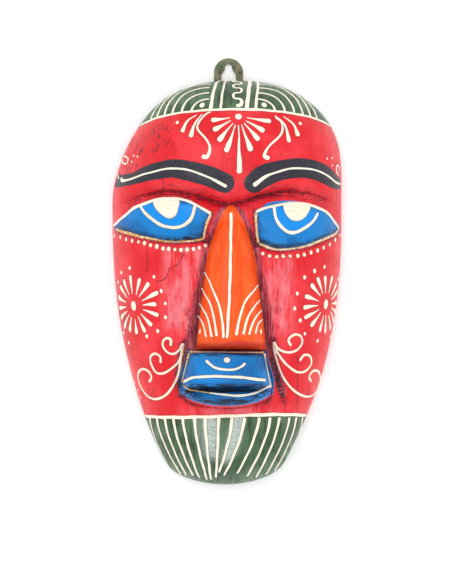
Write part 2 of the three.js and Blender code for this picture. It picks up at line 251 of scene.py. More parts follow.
def tool_marks(x, y):
    """How far the knife went in: long shallow facets all over, and rough short cuts in the deep corners."""
    facets = 0.5 * scallops(x, y, 11, 34, 3) + 0.22 * scallops(x, y, 4.5, 13, 4)
    waves = 0.25 * np.sin(x / 9 + 0.6 * np.sin(y / 17)) * np.sin(y / 23 + 1) + 0.25
    beside = beside_nose(x, y)
    by_nose = ease(7, 3.5, beside) * ease(-0.5, 0.5, beside) * ease(44, 34, y) * ease(-100, -88, y)
    by_crease = bell(y, crease_y(np.abs(x - FACE_X)) - 1.5, 3.5)
    rough = scallops(x, y, 1.7, 2.6, 5)
    return np.minimum(facets + waves, 0.7) + 0.9 * np.maximum(by_nose, 0.7 * by_crease) * rough


def carved_height(x, y):
    ground = dome(x, y) + socket(x, y) + brow_swell(x, y) + cheek(x, y) + channel(x, y) + grooves(x, y)
    top = np.maximum(np.maximum(ground, nose(x, y)), mouth(x, y))
    deep_enough = ease(2, 14, top)
    return np.maximum(top - tool_marks(x, y) * deep_enough, 0)


SIDE_COLUMNS = 78  # down each side of the face, and the middle ones over the nose and mouth
MIDDLE_COLUMNS = 66
COLUMNS = 2 * SIDE_COLUMNS + MIDDLE_COLUMNS + 2
CREASE_ROW = 53
CHIN_ROW = -118
ROW_BANDS = (  # (from, to, rows), close together where the carving turns sharply
    (106, 63, 46), (63, 54, 14), (54, CREASE_ROW, 4), (CREASE_ROW, 49, 8), (49, 12, 44), (12, -44, 60),
    (-44, NOSE_FOOT, 18), (NOSE_FOOT, MOUTH_TOP, 3), (MOUTH_TOP, -59, 4), (-59, -78, 18),
    (-78, SLIT_Y, 14), (SLIT_Y, SLIT_Y - LIP_DROP, 18), (SLIT_Y - LIP_DROP, -98.4, 3),
    (-98.4, CHIN_ROW, 17),
)
POLE_ROWS = 40  # over the crown, and again under the chin
BACK_RING = 0.93  # two more columns lie on the flat back, a little inside the outline
block_half = through(
    (CHIN_ROW, 24), (-99, 31), (-88, 31.5), (-79, 32.6), (-74, 31.6), (-58, 27.2), (MOUTH_TOP, 27),
    (NOSE_FOOT, 25.4), (-50, 25), (-20, 21.8), (3, 18.9), (11, 17.6), (28, 12.7),
    (41, 8.5), (48, 7.5), (70, 14),
)
block_x = through(
    (CHIN_ROW, 0), (-99, MOUTH_X), (MOUTH_TOP, MOUTH_X), (NOSE_FOOT, NOSE_X), (60, NOSE_X), (90, CROWN_LEAN)
)


def row_heights():
    quarter = np.arange(POLE_ROWS) / POLE_ROWS * math.pi / 2
    crown_row = ROW_BANDS[0][0]
    runs = [crown_row + (CROWN_Y - crown_row) * np.cos(quarter)]
    runs += [np.linspace(top, bottom, rows, endpoint=False) for top, bottom, rows in ROW_BANDS]
    runs.append(CHIN_ROW + (CHIN_Y - CHIN_ROW) * np.sin(np.append(quarter, math.pi / 2)))
    return np.concatenate(runs)


def column_x(column, y):
    """Columns keep to the sides of nose and mouth, with a narrow one on each side for their walls."""
    half = np.maximum(half_width(y), 1e-6)
    middle = centre_line(y)
    block = np.minimum(block_half(y), 0.5 * half)
    block_middle = middle + (block_x(y) - middle) * block / block_half(y)
    right = column > COLUMNS / 2
    counted = np.where(right, COLUMNS - column, column)
    shift = np.where(right, middle - block_middle, block_middle - middle)
    wall = np.minimum(0.5, 0.1 * block)
    edge = np.clip((block + wall - shift) / half, 0, 1)
    angle = np.minimum(counted / SIDE_COLUMNS, 1) * np.arccos(edge**1.1)
    side = half * np.cos(angle) ** (1 / 1.1)
    inner = (counted - SIDE_COLUMNS - 1) / MIDDLE_COLUMNS
    out = np.where(counted <= SIDE_COLUMNS, side, (block - wall) * np.cos(math.pi * inner) - shift)
    return middle + np.where(right, out, -out)


def bent_row(x, height):
    """Rows bend with the crease under the brows and with the foot of the lower lip."""
    brow_bend = (crease_y(np.abs(x - FACE_X)) - CREASE_ROW) * ease(88, 62, height) * ease(14, 40, height)
    below = np.clip(SLIT_Y - height, 0, LIP_DROP)
    lip_bend = below * (1 - lower_lip(x)) * ease(CHIN_ROW, SLIT_Y - LIP_DROP, height)
    return height + np.where(height > 0, brow_bend, lip_bend)


def net(columns, rows, place):
    """A closed skin: a sphere whose columns and rows go where place(column, row) puts them."""
    skin = bmesh.new()
    bmesh.ops.create_uvsphere(skin, u_segments=columns + 1, v_segments=rows, radius=1)
    co = np.array([v.co for v in skin.verts])
    turn = np.arctan2(co[:, 1], co[:, 0]) / (2 * math.pi) * (columns + 1)
    column = np.round(turn).astype(int) % (columns + 1)
    row = np.round(np.arccos(np.clip(co[:, 2], -1, 1)) / math.pi * rows).astype(int)
    for vert, point in zip(skin.verts, np.transpose(place(column, row))):
        vert.co = point
    skin.normal_update()
    return skin


def carved_place(column, row):
    heights = row_heights()
    rows = len(heights) - 1
    height = heights[row]
    ring = column > COLUMNS
    column = np.where(ring, (COLUMNS + 2 - column) * COLUMNS, column)
    y = bent_row(column_x(column, height), height)
    x = column_x(column, y)
    on_back = (column % COLUMNS == 0) | (row % rows == 0)
    worn_in = np.where(on_back, 1 - 0.5 / np.maximum(half_width(y), 1), 1)
    x = centre_line(y) + (x - centre_line(y)) * worn_in
    inward = np.where(ring & (row % rows > 0), BACK_RING, 1)
    return x * inward, y * inward, np.where(on_back, 0, carved_height(x, y))


HOLLOW_COLUMNS = 70
HOLLOW_ROWS = 110
HOLLOW_DEEP = 40
RIM_AT_CROWN = 32.5
RIM_AT_CHIN = 25.5
RIM_AT_SIDE = 14.5


def hollow_place(column, row):
    top, bottom = CROWN_Y - RIM_AT_CROWN, CHIN_Y + RIM_AT_CHIN
    turn = math.pi * row / HOLLOW_ROWS
    y = (top + bottom) / 2 + (top - bottom) / 2 * np.cos(turn)
    end = np.clip(np.sin(turn), 0, 1) ** 0.6
    angle = math.pi * column / HOLLOW_COLUMNS
    x = centre_line(y) - (half_width(y) - RIM_AT_SIDE) * end * np.cos(angle)
    deep = HOLLOW_DEEP * (1 - 0.25 * share(WIDEST_Y, CHIN_Y, y)) * end * np.clip(np.sin(angle), 0, 1) ** 0.8
    cuts = 1.8 * scallops(x, y, 10, 22, 8) * ease(0, 12, deep)
    return x, y, deep - cuts - 0.01


carved = net(COLUMNS + 2, len(row_heights()) - 1, carved_place)
wood_tree = BVHTree.FromBMesh(carved)


def shown(mesh_in_mm, name):
    """Turns a finished bmesh in millimetres into an object in metres."""
    bmesh.ops.scale(mesh_in_mm, vec=(MM, MM, MM), verts=mesh_in_mm.verts)
    mesh = bpy.data.meshes.new(name)
    mesh_in_mm.to_mesh(mesh)
    mesh_in_mm.free()
    piece = bpy.data.objects.new(name, mesh)
    bpy.context.scene.collection.objects.link(piece)
    for face in mesh.polygons:
        face.use_smooth = True
    return piece


def cut_away(piece, cutter):
    """Takes cutter out of piece for good."""
    cut = piece.modifiers.new("cut", "BOOLEAN")
    cut.operation = "DIFFERENCE"
    cut.object = cutter
    cut.solver = "EXACT"
    bpy.context.view_layer.update()
    result = bpy.data.meshes.new_from_object(piece.evaluated_get(bpy.context.evaluated_depsgraph_get()))
    piece.modifiers.clear()
    piece.data = result
    bpy.data.objects.remove(cutter)


wood = shown(carved, "carved_wood")
cut_away(wood, shown(net(HOLLOW_COLUMNS, HOLLOW_ROWS, hollow_place), "hollow_cutter"))

PLATE_LOW, PLATE_HIGH = (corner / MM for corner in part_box("hanger_plate"))
PLATE_X = (PLATE_LOW.x + PLATE_HIGH.x) / 2
PLATE_RADIUS = (PLATE_HIGH.x - PLATE_LOW.x) / 2
GAP = 0.3


def round_ended(low, high, radius, base, thick):
    """A flat bar along Y with round ends, between two heights."""
    bar = bmesh.new()
    bmesh.ops.create_circle(bar, cap_ends=True, segments=48, radius=radius)
    for vert in bar.verts:
        stretch = high - radius if vert.co.y > 0 else low + radius
        vert.co = (vert.co.x + PLATE_X, vert.co.y + stretch, base)
    made = bmesh.ops.extrude_face_region(bar, geom=bar.faces[:])["geom"]
    raised = [v for v in made if isinstance(v, bmesh.types.BMVert)]
    bmesh.ops.translate(bar, vec=(0, 0, thick), verts=raised)
    bmesh.ops.recalc_face_normals(bar, faces=bar.faces)
    return bar


NAIL_Y = PLATE_HIGH.y - 15.6
NAIL_POCKET = 5.8  # radius of the room left in the wood for a nail's head
recess = round_ended(
    PLATE_LOW.y - GAP, PLATE_HIGH.y + GAP, PLATE_RADIUS + GAP, -1, PLATE_HIGH.z + GAP + 1
)
pocket = round_ended(NAIL_Y - NAIL_POCKET, NAIL_Y + NAIL_POCKET, NAIL_POCKET, 1, PLATE_HIGH.z + GAP + 4)
cut_away(wood, shown(recess, "recess_cutter"))
cut_away(wood, shown(pocket, "pocket_cutter"))

SCREW_Y = PLATE_HIGH.y - 32
SCREW_SPREAD = 5.3
SCREW_FACE = PLATE_LOW.z + 0.1
SCREW_HEAD = 2.5
SCREW_SHANK = 1.2
SCREW_TIP = 0.4
SCREW_LONG = 14
THREAD_PITCH = 0.9
THREAD_DEEP = 0.25


def screw_body(x, grow, threaded=False):
    """A countersunk screw that points into the wood, or the hole for it when it is grown a little."""
    profile = [(0, -grow), (SCREW_HEAD + grow, -grow), (SCREW_HEAD + grow, 0.15), (SCREW_SHANK + grow, 1.3)]
    if threaded:
        for turn in np.arange(4, SCREW_LONG - 2, THREAD_PITCH):
            root = SCREW_SHANK - THREAD_DEEP
            profile += [(root, turn), (SCREW_SHANK, turn + 0.35), (root, turn + 0.6)]
    profile += [(SCREW_SHANK + grow, SCREW_LONG - 3), (SCREW_TIP + grow, SCREW_LONG + grow)]
    profile.append((0, SCREW_LONG + grow))
    body = bmesh.new()
    line = [body.verts.new((radius, 0, along)) for radius, along in profile]
    edges = [body.edges.new(pair) for pair in zip(line, line[1:])]
    bmesh.ops.spin(
        body, geom=line + edges, cent=(0, 0, 0), axis=(0, 0, 1), angle=2 * math.pi, steps=24, use_merge=True
    )
    bmesh.ops.remove_doubles(body, verts=body.verts, dist=0.001)
    bmesh.ops.translate(body, vec=(x, SCREW_Y, SCREW_FACE), verts=body.verts)
    bmesh.ops.recalc_face_normals(body, faces=body.faces)
    return body


def screw_pair(grow):
    pair = screw_body(PLATE_X - SCREW_SPREAD, grow)
    other = bpy.data.meshes.new("other_screw")
    screw_body(PLATE_X + SCREW_SPREAD, grow).to_mesh(other)
    pair.from_mesh(other)
    return pair


cut_away(wood, shown(screw_pair(0.15), "screw_holes"))
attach(wood, "root")
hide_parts("carved_face")

# ------------------------------------------------------------------ hair lines
# The crown is painted green as hair. A line divides it from the brow, a band runs over the middle with a
# squiggle on it, and nested arches comb down to each side. All are thick ivory paint, piped through a cone.
# A bead is blunt where the cone is pressed and thin where it is drawn away, and wash settles round its foot.
SUNK = 0.25  # how far a bead reaches into the wood
RIM_CLEAR = 3.0  # beads end this far in front of the flat back
RING_EVERY = 1.1
BEAD_SIDES = 10
BEAD_RISE = 0.54  # height of a bead as a share of its half width
laid_points = []  # (x, y, z, half width, stain) all along the beads, for the dirt beside them
hand = np.random.default_rng(11)


def bend(points, steps=16):
    """A smooth curve through a few points."""
    p = np.array(points, float)
    p = np.vstack((2 * p[0] - p[1], p, 2 * p[-1] - p[-2]))
    t = np.linspace(0, 1, steps, endpoint=False)[:, None]
    runs = [
        b + ((c - a) * t + (2 * a - 5 * b + 4 * c - d) * t**2 + (3 * b - a - 3 * c + d) * t**3) / 2
        for a, b, c, d in zip(p[:-3], p[1:-2], p[2:-1], p[3:])
    ]
    return np.vstack(runs + [p[-2][None]])


def on_face(points):
    """Points of the front view, dropped onto the wood."""
    x, y = np.transpose(points)
    return np.transpose((x, y, carved_height(x, y)))


def around(points):
    """Points given as (distance round the dome from the centre line, height), on the dome."""
    places = []
    quarter = np.linspace(0, math.pi / 2, 80)
    for s, y in points:
        x = half_width(y) * np.sin(quarter) ** (2 / ACROSS_POWER)
        z = dome_depth(y) * np.cos(quarter)
        walked = np.concatenate(([0], np.cumsum(np.hypot(np.diff(x), np.diff(z)))))
        x_here = np.interp(abs(s), walked, x)
        places.append((centre_line(y) + math.copysign(x_here, s), y, np.interp(abs(s), walked, z)))
    return np.array(places)


def walk(path, at):
    """Points at given distances along a path of (distances, points)."""
    return np.transpose([np.interp(at, path[0], column) for column in path[1].T])


def marked(beads, vert, rise, stain):
    """Notes how high a point lies on its bead, and how stained the bead is, for the paint to read."""
    vert[beads.verts.layers.float["rise"]] = rise
    vert[beads.verts.layers.float["stain"]] = stain


def pipe(beads, points, widths, stain=0.0):
    """Lays one bead along points on the wood, short of the rim. widths are its widths at even stations."""
    points = [point for point in points if point[2] > RIM_CLEAR]
    if len(points) < 4:
        return
    hits = [wood_tree.find_nearest(Vector(p)) for p in points]
    places = np.array([hit[0] for hit in hits])
    normals = np.array([hit[1] for hit in hits])
    for _ in range(4):
        normals[1:-1] = (normals[:-2] + 2 * normals[1:-1] + normals[2:]) / 4
    walked = np.concatenate(([0], np.cumsum(np.linalg.norm(np.diff(places, axis=0), axis=1))))
    length = walked[-1]
    rings = int(np.clip(length / RING_EVERY, 8, 80))
    turn = np.linspace(0, math.pi, rings + 1)
    at = length * (turn / math.pi - 0.8 * np.sin(2 * turn) / (2 * math.pi))
    phase = hand.random(3) * 6.28  # the hand is never quite steady
    uneven = 1 + 0.06 * np.sin(at / 1.9 + phase[0]) + 0.05 * np.sin(at / 5.3 + phase[1])
    reach = np.interp(at / length, np.linspace(0, 1, len(widths)), widths) / 2 * uneven
    start = np.minimum(at / max(reach[0], 0.3), 1)
    finish = np.minimum((length - at) / max(reach[-1], 0.3), 1)
    cap = np.sqrt((1 - (1 - start) ** 2) * (1 - (1 - finish) ** 2))
    place = walk((walked, places), at)
    out = walk((walked, normals), at)
    out /= np.linalg.norm(out, axis=1)[:, None]
    ahead = np.gradient(place, at, axis=0)
    side = np.cross(ahead, out)
    side /= np.linalg.norm(side, axis=1)[:, None]
    place = place + side * (0.12 * np.sin(at / 3.1 + phase[2]))[:, None]
    made = bmesh.ops.create_uvsphere(beads, u_segments=BEAD_SIDES, v_segments=rings, radius=1)["verts"]
    co = np.array([v.co for v in made])
    ring = np.round(np.arccos(np.clip(co[:, 2], -1, 1)) / math.pi * rings).astype(int)
    circle = np.arctan2(co[:, 1], co[:, 0])
    high = np.minimum(BEAD_RISE * reach, LINE_HIGH - 0.05)[ring]
    up = np.sin(circle)
    lift = np.where(up > 0, up * high, up * SUNK) * cap[ring]
    moved = place[ring] + side[ring] * (np.cos(circle) * reach[ring] * cap[ring])[:, None]
    moved += out[ring] * lift[:, None]
    for vert, point, rise in zip(made, moved, up * cap[ring]):
        vert.co = point
        marked(beads, vert, rise, stain)
    fine = np.arange(0, length, 0.6)
    for point, wide in zip(walk((walked, places), fine), np.interp(fine, at, reach * cap)):
        laid_points.append((*point, wide, stain))


def lay(beads, line, widths, stain=0.0):
    """Pipes a bead along a smooth curve of the front view."""
    pipe(beads, on_face(bend(line)), widths, stain)


def drop(beads, point, radius, stretch=1.0, stain=0.0):
    """One dot of paint, stretched along the height of the mask."""
    if point[2] < RIM_CLEAR:
        return
    place, out = wood_tree.find_nearest(Vector(point))[:2]
    tall = Vector((0, 1, 0))
    tall = (tall - out * tall.dot(out)).normalized()
    wide = tall.cross(out)
    made = bmesh.ops.create_uvsphere(beads, u_segments=14, v_segments=8, radius=1)["verts"]
    high = min(0.6 * radius, LINE_HIGH - 0.05)
    for vert in made:
        x, y, z = vert.co
        marked(beads, vert, z, stain)
        lift = z * high if z > 0 else z * SUNK
        vert.co = place + wide * (x * radius) + tall * (y * radius * stretch) + out * lift
    laid_points.append((*place, radius, stain))


def dot(beads, place, radius, stretch=1.0):
    """One dot of paint at a place of the front view."""
    drop(beads, on_face([place])[0], radius, stretch)


def pad(beads, outline, stain=0.0):
    """A flat patch of thick paint that fills an outline of the front view."""
    edge = bend(list(outline) + [outline[0]], 8)
    middle = edge[:-1].mean(axis=0)
    bearing = np.arctan2(*(edge[:-1] - middle).T[::-1])
    order = np.argsort(bearing)
    radii = np.linalg.norm(edge[:-1] - middle, axis=1)[order]
    made = bmesh.ops.create_uvsphere(beads, u_segments=48, v_segments=28, radius=1)["verts"]
    for vert in made:
        x, y, z = vert.co
        out = min(math.hypot(x, y), 1)
        angle = math.atan2(y, x)
        radius = out * np.interp(angle, bearing[order], radii, period=2 * math.pi)
        px, py = middle + radius * np.array((math.cos(angle), math.sin(angle)))
        place, normal = wood_tree.find_nearest(Vector((px, py, carved_height(px, py))))[:2]
        marked(beads, vert, math.copysign(1 - out**4, z), stain)
        thick = 0.32 * math.sqrt(1 - out**8) if z > 0 else -SUNK
        vert.co = Vector((place.x, place.y, place.z + thick))
    for point in edge[:-1]:
        laid_points.append((*on_face([point])[0], 0.1, stain))


def new_beads():
    """An empty mesh for the beads of one piece."""
    beads = bmesh.new()
    beads.verts.layers.float.new("rise")
    beads.verts.layers.float.new("stain")
    return beads


def srgb(red, green, blue):
    """A paint colour by its 8-bit display values."""
    linear = [((c / 255 + 0.055) / 1.055) ** 2.4 if c > 10 else c / 255 / 12.92 for c in (red, green, blue)]
    return (*linear, 1)


class Coats:
    """One paint or finish, built up coat by coat: each coat covers the last where its share is 1.

    A share is the product of its parts. A part is a number, a field's name, a node's output, or
    (field or output, start, end) for a smooth step between two levels."""

    def __init__(self, name, colour, roughness):
        self.material = bpy.data.materials.new(name)
        self.material.use_nodes = True
        self.nodes = self.material.node_tree.nodes
        self.links = self.material.node_tree.links
        self.shader = self.nodes["Principled BSDF"]
        self.shader.inputs["Roughness"].default_value = roughness
        self.object_place = self.nodes.new("ShaderNodeTexCoord").outputs["Object"]
        self.colour = colour

    def feed(self, socket, value):
        if isinstance(value, bpy.types.NodeSocket):
            self.links.new(value, socket)
        else:
            socket.default_value = value

    def combine(self, operation, *values):
        node = self.nodes.new("ShaderNodeMath")
        node.operation = operation
        for socket, value in zip(node.inputs, values):
            self.feed(socket, value)
        return node.outputs[0]

    def field(self, name):
        node = self.nodes.new("ShaderNodeAttribute")
        node.attribute_name = name
        return node.outputs["Fac"]

    def noise(self, size, stretch=(1, 1, 1), detail=3.0, roughness=0.5):
        """Noise whose blotches are about size millimetres, stretched along the axes."""
        mapping = self.nodes.new("ShaderNodeMapping")
        mapping.inputs["Scale"].default_value = [1 / (size * MM * s) for s in stretch]
        self.links.new(self.object_place, mapping.inputs["Vector"])
        node = self.nodes.new("ShaderNodeTexNoise")
        node.inputs["Scale"].default_value = 1
        node.inputs["Detail"].default_value = detail
        node.inputs["Roughness"].default_value = roughness
        self.links.new(mapping.outputs[0], node.inputs["Vector"])
        return node.outputs["Fac"]

    def step(self, value, start, end):
        """0 up to start, 1 from end on."""
        node = self.nodes.new("ShaderNodeMapRange")
        node.interpolation_type = "SMOOTHSTEP"
        self.feed(node.inputs["Value"], value)
        node.inputs["From Min"].default_value = start
        node.inputs["From Max"].default_value = end
        return node.outputs["Result"]

    def part(self, given):
        if isinstance(given, tuple):
            value, start, end = given
            return self.step(self.part(value), start, end)
        return self.field(given) if isinstance(given, str) else given

    def times(self, first, *rest):
        total = self.part(first)
        for other in rest:
            total = self.combine("MULTIPLY", total, self.part(other))
        return total

    def mixed(self, below, above, *share):
        node = self.nodes.new("ShaderNodeMix")
        node.data_type = "RGBA"
        self.feed(node.inputs["Factor"], self.times(*share))
        for socket, colour in ((node.inputs[6], below), (node.inputs[7], above)):
            self.feed(socket, srgb(*colour) if isinstance(colour, tuple) else colour)
        return node.outputs[2]

    def coat(self, colour, *share):
        self.colour = self.mixed(self.colour, colour, *share)

    def bump(self, height, depth):
        node = self.nodes.new("ShaderNodeBump")
        node.inputs["Strength"].default_value = 1
        node.inputs["Distance"].default_value = depth * MM
        self.links.new(height, node.inputs["Height"])
        self.links.new(node.outputs["Normal"], self.shader.inputs["Normal"])

    def done(self):
        self.feed(self.shader.inputs["Base Color"], self.colour)
        return self.material


ivory = Coats("ivory_line_paint", (252, 246, 226), 0.42)
ivory.shader.inputs["Coat Weight"].default_value = 0.15
ivory.coat((232, 214, 170), (ivory.noise(2.2), 0.55, 0.75))
ivory.coat((218, 160, 66), "stain", (ivory.noise(2.4, detail=4), 0.3, 0.52))
ivory.coat((92, 40, 38), ("rise", 0.3, 0.02), 0.75)
rubbed_in = ivory.times("stain", ("rise", 0.6, 0.15), (ivory.noise(1.6, detail=4), 0.42, 0.56))
worn_through = ivory.times("stain", (ivory.noise(1.9, detail=5), 0.6, 0.65))
ivory.coat((74, 46, 28), ivory.combine("MAXIMUM", rubbed_in, worn_through), 0.85)
ivory.coat((96, 70, 50), (ivory.noise(0.9, detail=2), 0.71, 0.76), 0.7)
ivory.bump(ivory.noise(0.8), 0.06)
ivory_paint = ivory.done()


def ivory_piece(beads, name):
    piece = shown(beads, name)
    piece.data.materials.append(ivory_paint)
    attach(piece, "root")


HAIR_TILT = 0.3  # the hairline climbs this much for each millimetre that the head is deep
HAIR_LEVEL = 101.7
HAIR_BASE_Y = 116
meridian = np.linspace(0, math.pi / 2, 300)
meridian_y = WIDEST_Y + (CROWN_Y - WIDEST_Y) * np.sin(meridian) ** (2 / CROWN_POWER)
meridian_z = DOME_DEPTH * np.cos(meridian) ** (2 / CROWN_POWER)
meridian_walk = np.concatenate(([0], np.cumsum(np.hypot(np.diff(meridian_y), np.diff(meridian_z)))))
base_walk = np.interp(HAIR_BASE_Y, meridian_y, meridian_walk)


def up_crown(v):
    """Height of a point v millimetres over the crown from the middle of the hairline."""
    return np.interp(base_walk + v, meridian_walk, meridian_y)


def hairline(s):
    """Height of the hairline at a distance round the head: it climbs where the head is deeper."""
    y = HAIR_BASE_Y
    for _ in range(6):
        y = HAIR_LEVEL + HAIR_TILT * around([(s, y)])[0][2]
    return y


def crown(points):
    """Points given as (distance from the centre line, distance over the crown from the hairline)."""
    flat = [(u, up_crown(v) - (HAIR_BASE_Y - hairline(u)) * max(0, 1 - v / 30)) for u, v in points]
    return around(flat)


hair = new_beads()
parting = around([(s, hairline(s)) for s in np.linspace(-88, 90, 90)])
pipe(hair, parting, (2.0, 2.2, 1.9, 2.3, 2.5, 2.0, 2.2, 1.9))
BAND_LINES = ((-17.8, -12.5, 2.5), (-10.6, -6.5, 1.7), (8.4, 11.4, 3.0), (14.6, 18.2, 2.0))
for low_u, high_u, wide in BAND_LINES:
    ends = [(low_u + (high_u - low_u) * min(v / 45, 1), v) for v in np.linspace(0.5, 54, 40)]
    pipe(hair, crown(ends), (wide * 1.1, wide, wide * 0.9, wide))
SWINGS = 3
squiggle = [
    (1.7 + 3.1 * math.sin(turn), 3.4 + 42 * turn / (2 * math.pi * SWINGS) - 1.2 * math.sin(2 * turn))
    for turn in np.linspace(-0.4, 2 * math.pi * SWINGS, 150)
]
pipe(hair, crown(squiggle), (3.8, 2.6, 1.8, 1.7, 1.8, 1.7, 1.8, 1.7, 1.8, 1.8))
ARCHES = 6
ARCH_WIDE = 13.5  # the smallest arch, and what each next one adds
WIDER_BY = 7.9
ARCH_HIGH = 10.5
HIGHER_BY = 7.2
for side, foot_u in ((-1, -18.5), (1, 15.5)):
    for k in range(ARCHES):
        wide_u = ARCH_WIDE + WIDER_BY * k
        high_v = ARCH_HIGH + HIGHER_BY * k
        arch = [
            (foot_u + side * wide_u * math.sin(a), max(high_v * math.cos(a), 0.6))
            for a in np.linspace(0, math.pi / 2, 30)
        ]
        pipe(hair, crown(arch), (1.5, 1.5, 1.7, 2.0))
    drop(hair, crown([(foot_u + side * 5.5, 4.8)])[0], 2.0, 1.2)
ivory_piece(hair, "hair_lines")

# ------------------------------------------------------------------ brow lines
# One long thin bead runs along each black brow, pressed into a blob where it starts.
# It is the same ivory paint, laid after the black has dried.
LEFT_BROW_LINE = ((-75.8, 66.6), (-72.6, 65), (-55.1, 70.6), (-37.2, 73.6), (-19.7, 69.9), (0, 60.6))
RIGHT_BROW_LINE = ((18.6, 61.3), (30.8, 69.2), (48.6, 73.7), (66.2, 71.4), (78, 63.8), (81, 62.6))
brows = new_beads()
lay(brows, LEFT_BROW_LINE, (3.2, 1.5, 1.4, 1.5, 1.5, 1.6, 1.5, 2.8))
lay(brows, RIGHT_BROW_LINE, (3.4, 1.7, 1.5, 1.4, 1.5, 1.6, 1.7))
ivory_piece(brows, "brow_lines")

# ------------------------------------------------------------------ forehead spray
# Teardrops fan out from a dot under the hairline, with a scroll and two drops on each side of them.
# Each is ivory paint drawn outwards from a point and pressed at its end.
HUB = np.array((8.2, 110.5))
HUB_GAP = 6.0
PETAL_TIPS = (
    (-11.4, 107.8), (-10.0, 100.7), (-6.4, 92.8), (-0.7, 85), (8.9, 69.9),
    (17.2, 85.7), (22.9, 93.5), (26.8, 100), (31.5, 107.1),
)
SPRAY_SCROLLS = (
    (
        (-11.5, 114), (-15.5, 112), (-20, 106.5), (-20.7, 101.4), (-14.3, 93.5), (-12, 87.8),
        (-14.3, 81.8), (-18, 82.6),
    ),
    ((34.3, 110), (39, 106), (38.8, 98.5), (30, 89.2), (26.6, 82.6), (30.4, 80.4)),
)
SPRAY_DROPS = (
    ((-21.5, 112), (-28, 107.5), (-32.2, 99.3)), ((-17.5, 112.5), (-23.5, 104.5), (-25.8, 95.7)),
    ((34, 111.5), (41.5, 104), (44.4, 92.1)), ((40.1, 110.7), (47.5, 105), (50.8, 96.4)),
)
spray = new_beads()
dot(spray, HUB, 2.5)
for tip in PETAL_TIPS:
    away = np.array(tip) - HUB
    start = HUB + away / np.linalg.norm(away) * HUB_GAP
    pipe(spray, on_face(np.linspace(start, tip, 16)), (0.8, 1.1, 2.1, 3.6, 4.2))
for scroll in SPRAY_SCROLLS:
    lay(spray, scroll, (1.2, 1.4, 1.6, 1.7, 1.6, 1.7, 2.4, 4.0))
for line in SPRAY_DROPS:
    lay(spray, line, (0.8, 1.4, 2.2, 4.0))
for x, y in ((-35.4, 106.4), (52.2, 105.7)):
    dot(spray, (x, y), 1.4)
ivory_piece(spray, "forehead_spray")

# ------------------------------------------------------------------ temple curls
# A small curl and three dots of ivory paint sit over the outer end of each brow.
# The left one runs round to the side of the head and down to the brow.
temples = new_beads()
for x, y in ((-66.5, 82.8), (-63.8, 82.2), (-67.8, 78.5), (71.5, 80.7), (75.1, 81.2), (75.1, 75.9)):
    dot(temples, (x, y), 0.85)
LEFT_CURL = (
    (-73.5, 83), (-70.6, 80.5), (-71.6, 77.2), (-74, 77.4), (-75.2, 80.4), (-76, 77.5), (-78.2, 70.6),
    (-77, 66.4),
)
RIGHT_CURL = ((79.6, 68.6), (78, 72.2), (78.6, 75.8), (80.2, 74.6), (79.8, 71.6))
lay(temples, LEFT_CURL, (1.2, 1.3, 1.2, 1.1, 1.0))
lay(temples, RIGHT_CURL, (1.5, 1.4, 1.3, 1.2))
ivory_piece(temples, "temple_curls")

# ------------------------------------------------------------------ eyes
# Each eye has a heavy outline, a bow for the iris and a thick pad for the pupil hung from the upper lid.
# The lower lid's lines are gilded and rubbed with dark wash.
LEFT_UPPER_LID = ((-81, 33), (-73, 39.9), (-64.4, 46.3), (-46.5, 52), (-28.6, 50.6), (-11.4, 41.3))
LEFT_INNER_LID = ((-11.4, 41.3), (-14.3, 34.9), (-15.6, 29), (-16.7, 23.1))
LEFT_LOWER_LID = ((-16.7, 23.1), (-25.8, 21.8), (-40.4, 21.3), (-61.2, 24.9), (-79, 30))
RIGHT_UPPER_LID = ((20.7, 42.7), (30.8, 46.3), (48.5, 49), (63, 46.3), (72.3, 41.3), (80, 31))
RIGHT_INNER_LID = ((22.9, 19.5), (21.3, 26.3), (20.7, 34.9), (20.7, 42.7))
RIGHT_LOWER_LID = ((80, 31), (76.5, 26.6), (66.2, 22), (54.4, 17.7), (36.5, 15.6), (22.9, 19.5))
LEFT_IRIS = (
    (-62, 47.4), (-57.9, 41.3), (-50.8, 35.6), (-44.4, 32.4), (-37.2, 31.3), (-30.5, 33.4),
    (-25, 38.7), (-22.6, 48),
)
RIGHT_IRIS = (
    (33.4, 46.5), (35.1, 37.7), (38.6, 32), (43.6, 28.4), (49.4, 28.2), (55.8, 31.3),
    (61.5, 36.3), (65.1, 42),
)
LEFT_PUPIL = (
    (-53.5, 51), (-51.5, 45.5), (-46.5, 40.4), (-41, 37.6), (-36.4, 40), (-34.6, 45),
    (-34.2, 51.6), (-44, 52.4),
)
RIGHT_PUPIL = (
    (39.4, 48.8), (41, 42.5), (44.6, 37.6), (49, 36), (53.6, 37), (57.6, 41), (59.6, 47.8),
    (49, 49.6),
)
EYE_BEADS = (
    (LEFT_UPPER_LID, (1.8, 2.2, 2.4, 2.4, 2.2, 2.2), 0),
    (LEFT_INNER_LID, (2.0, 1.9, 1.8, 1.8), 0.75),
    (LEFT_LOWER_LID, (1.8, 2.0, 2.1, 2.0, 2.2, 2.0), 1),
    (RIGHT_UPPER_LID, (2.0, 2.1, 2.2, 2.3, 2.2, 2.0), 0.12),
    (RIGHT_INNER_LID, (2.3, 2.0, 2.0, 2.0), 0.8),
    (RIGHT_LOWER_LID, (1.8, 2.0, 2.1, 2.0, 2.0, 2.2), 0.7),
    (LEFT_IRIS, (2.2, 2.4, 2.6, 2.4, 2.6, 2.3), 0.18),
    (RIGHT_IRIS, (2.2, 2.4, 2.4, 2.6, 2.5, 2.0), 0),
)
eyes = new_beads()
for line, widths, stained in EYE_BEADS:
    lay(eyes, line, widths, stained)
pad(eyes, LEFT_PUPIL, 0.1)
pad(eyes, RIGHT_PUPIL, 0.1)
ivory_piece(eyes, "eye_lines")

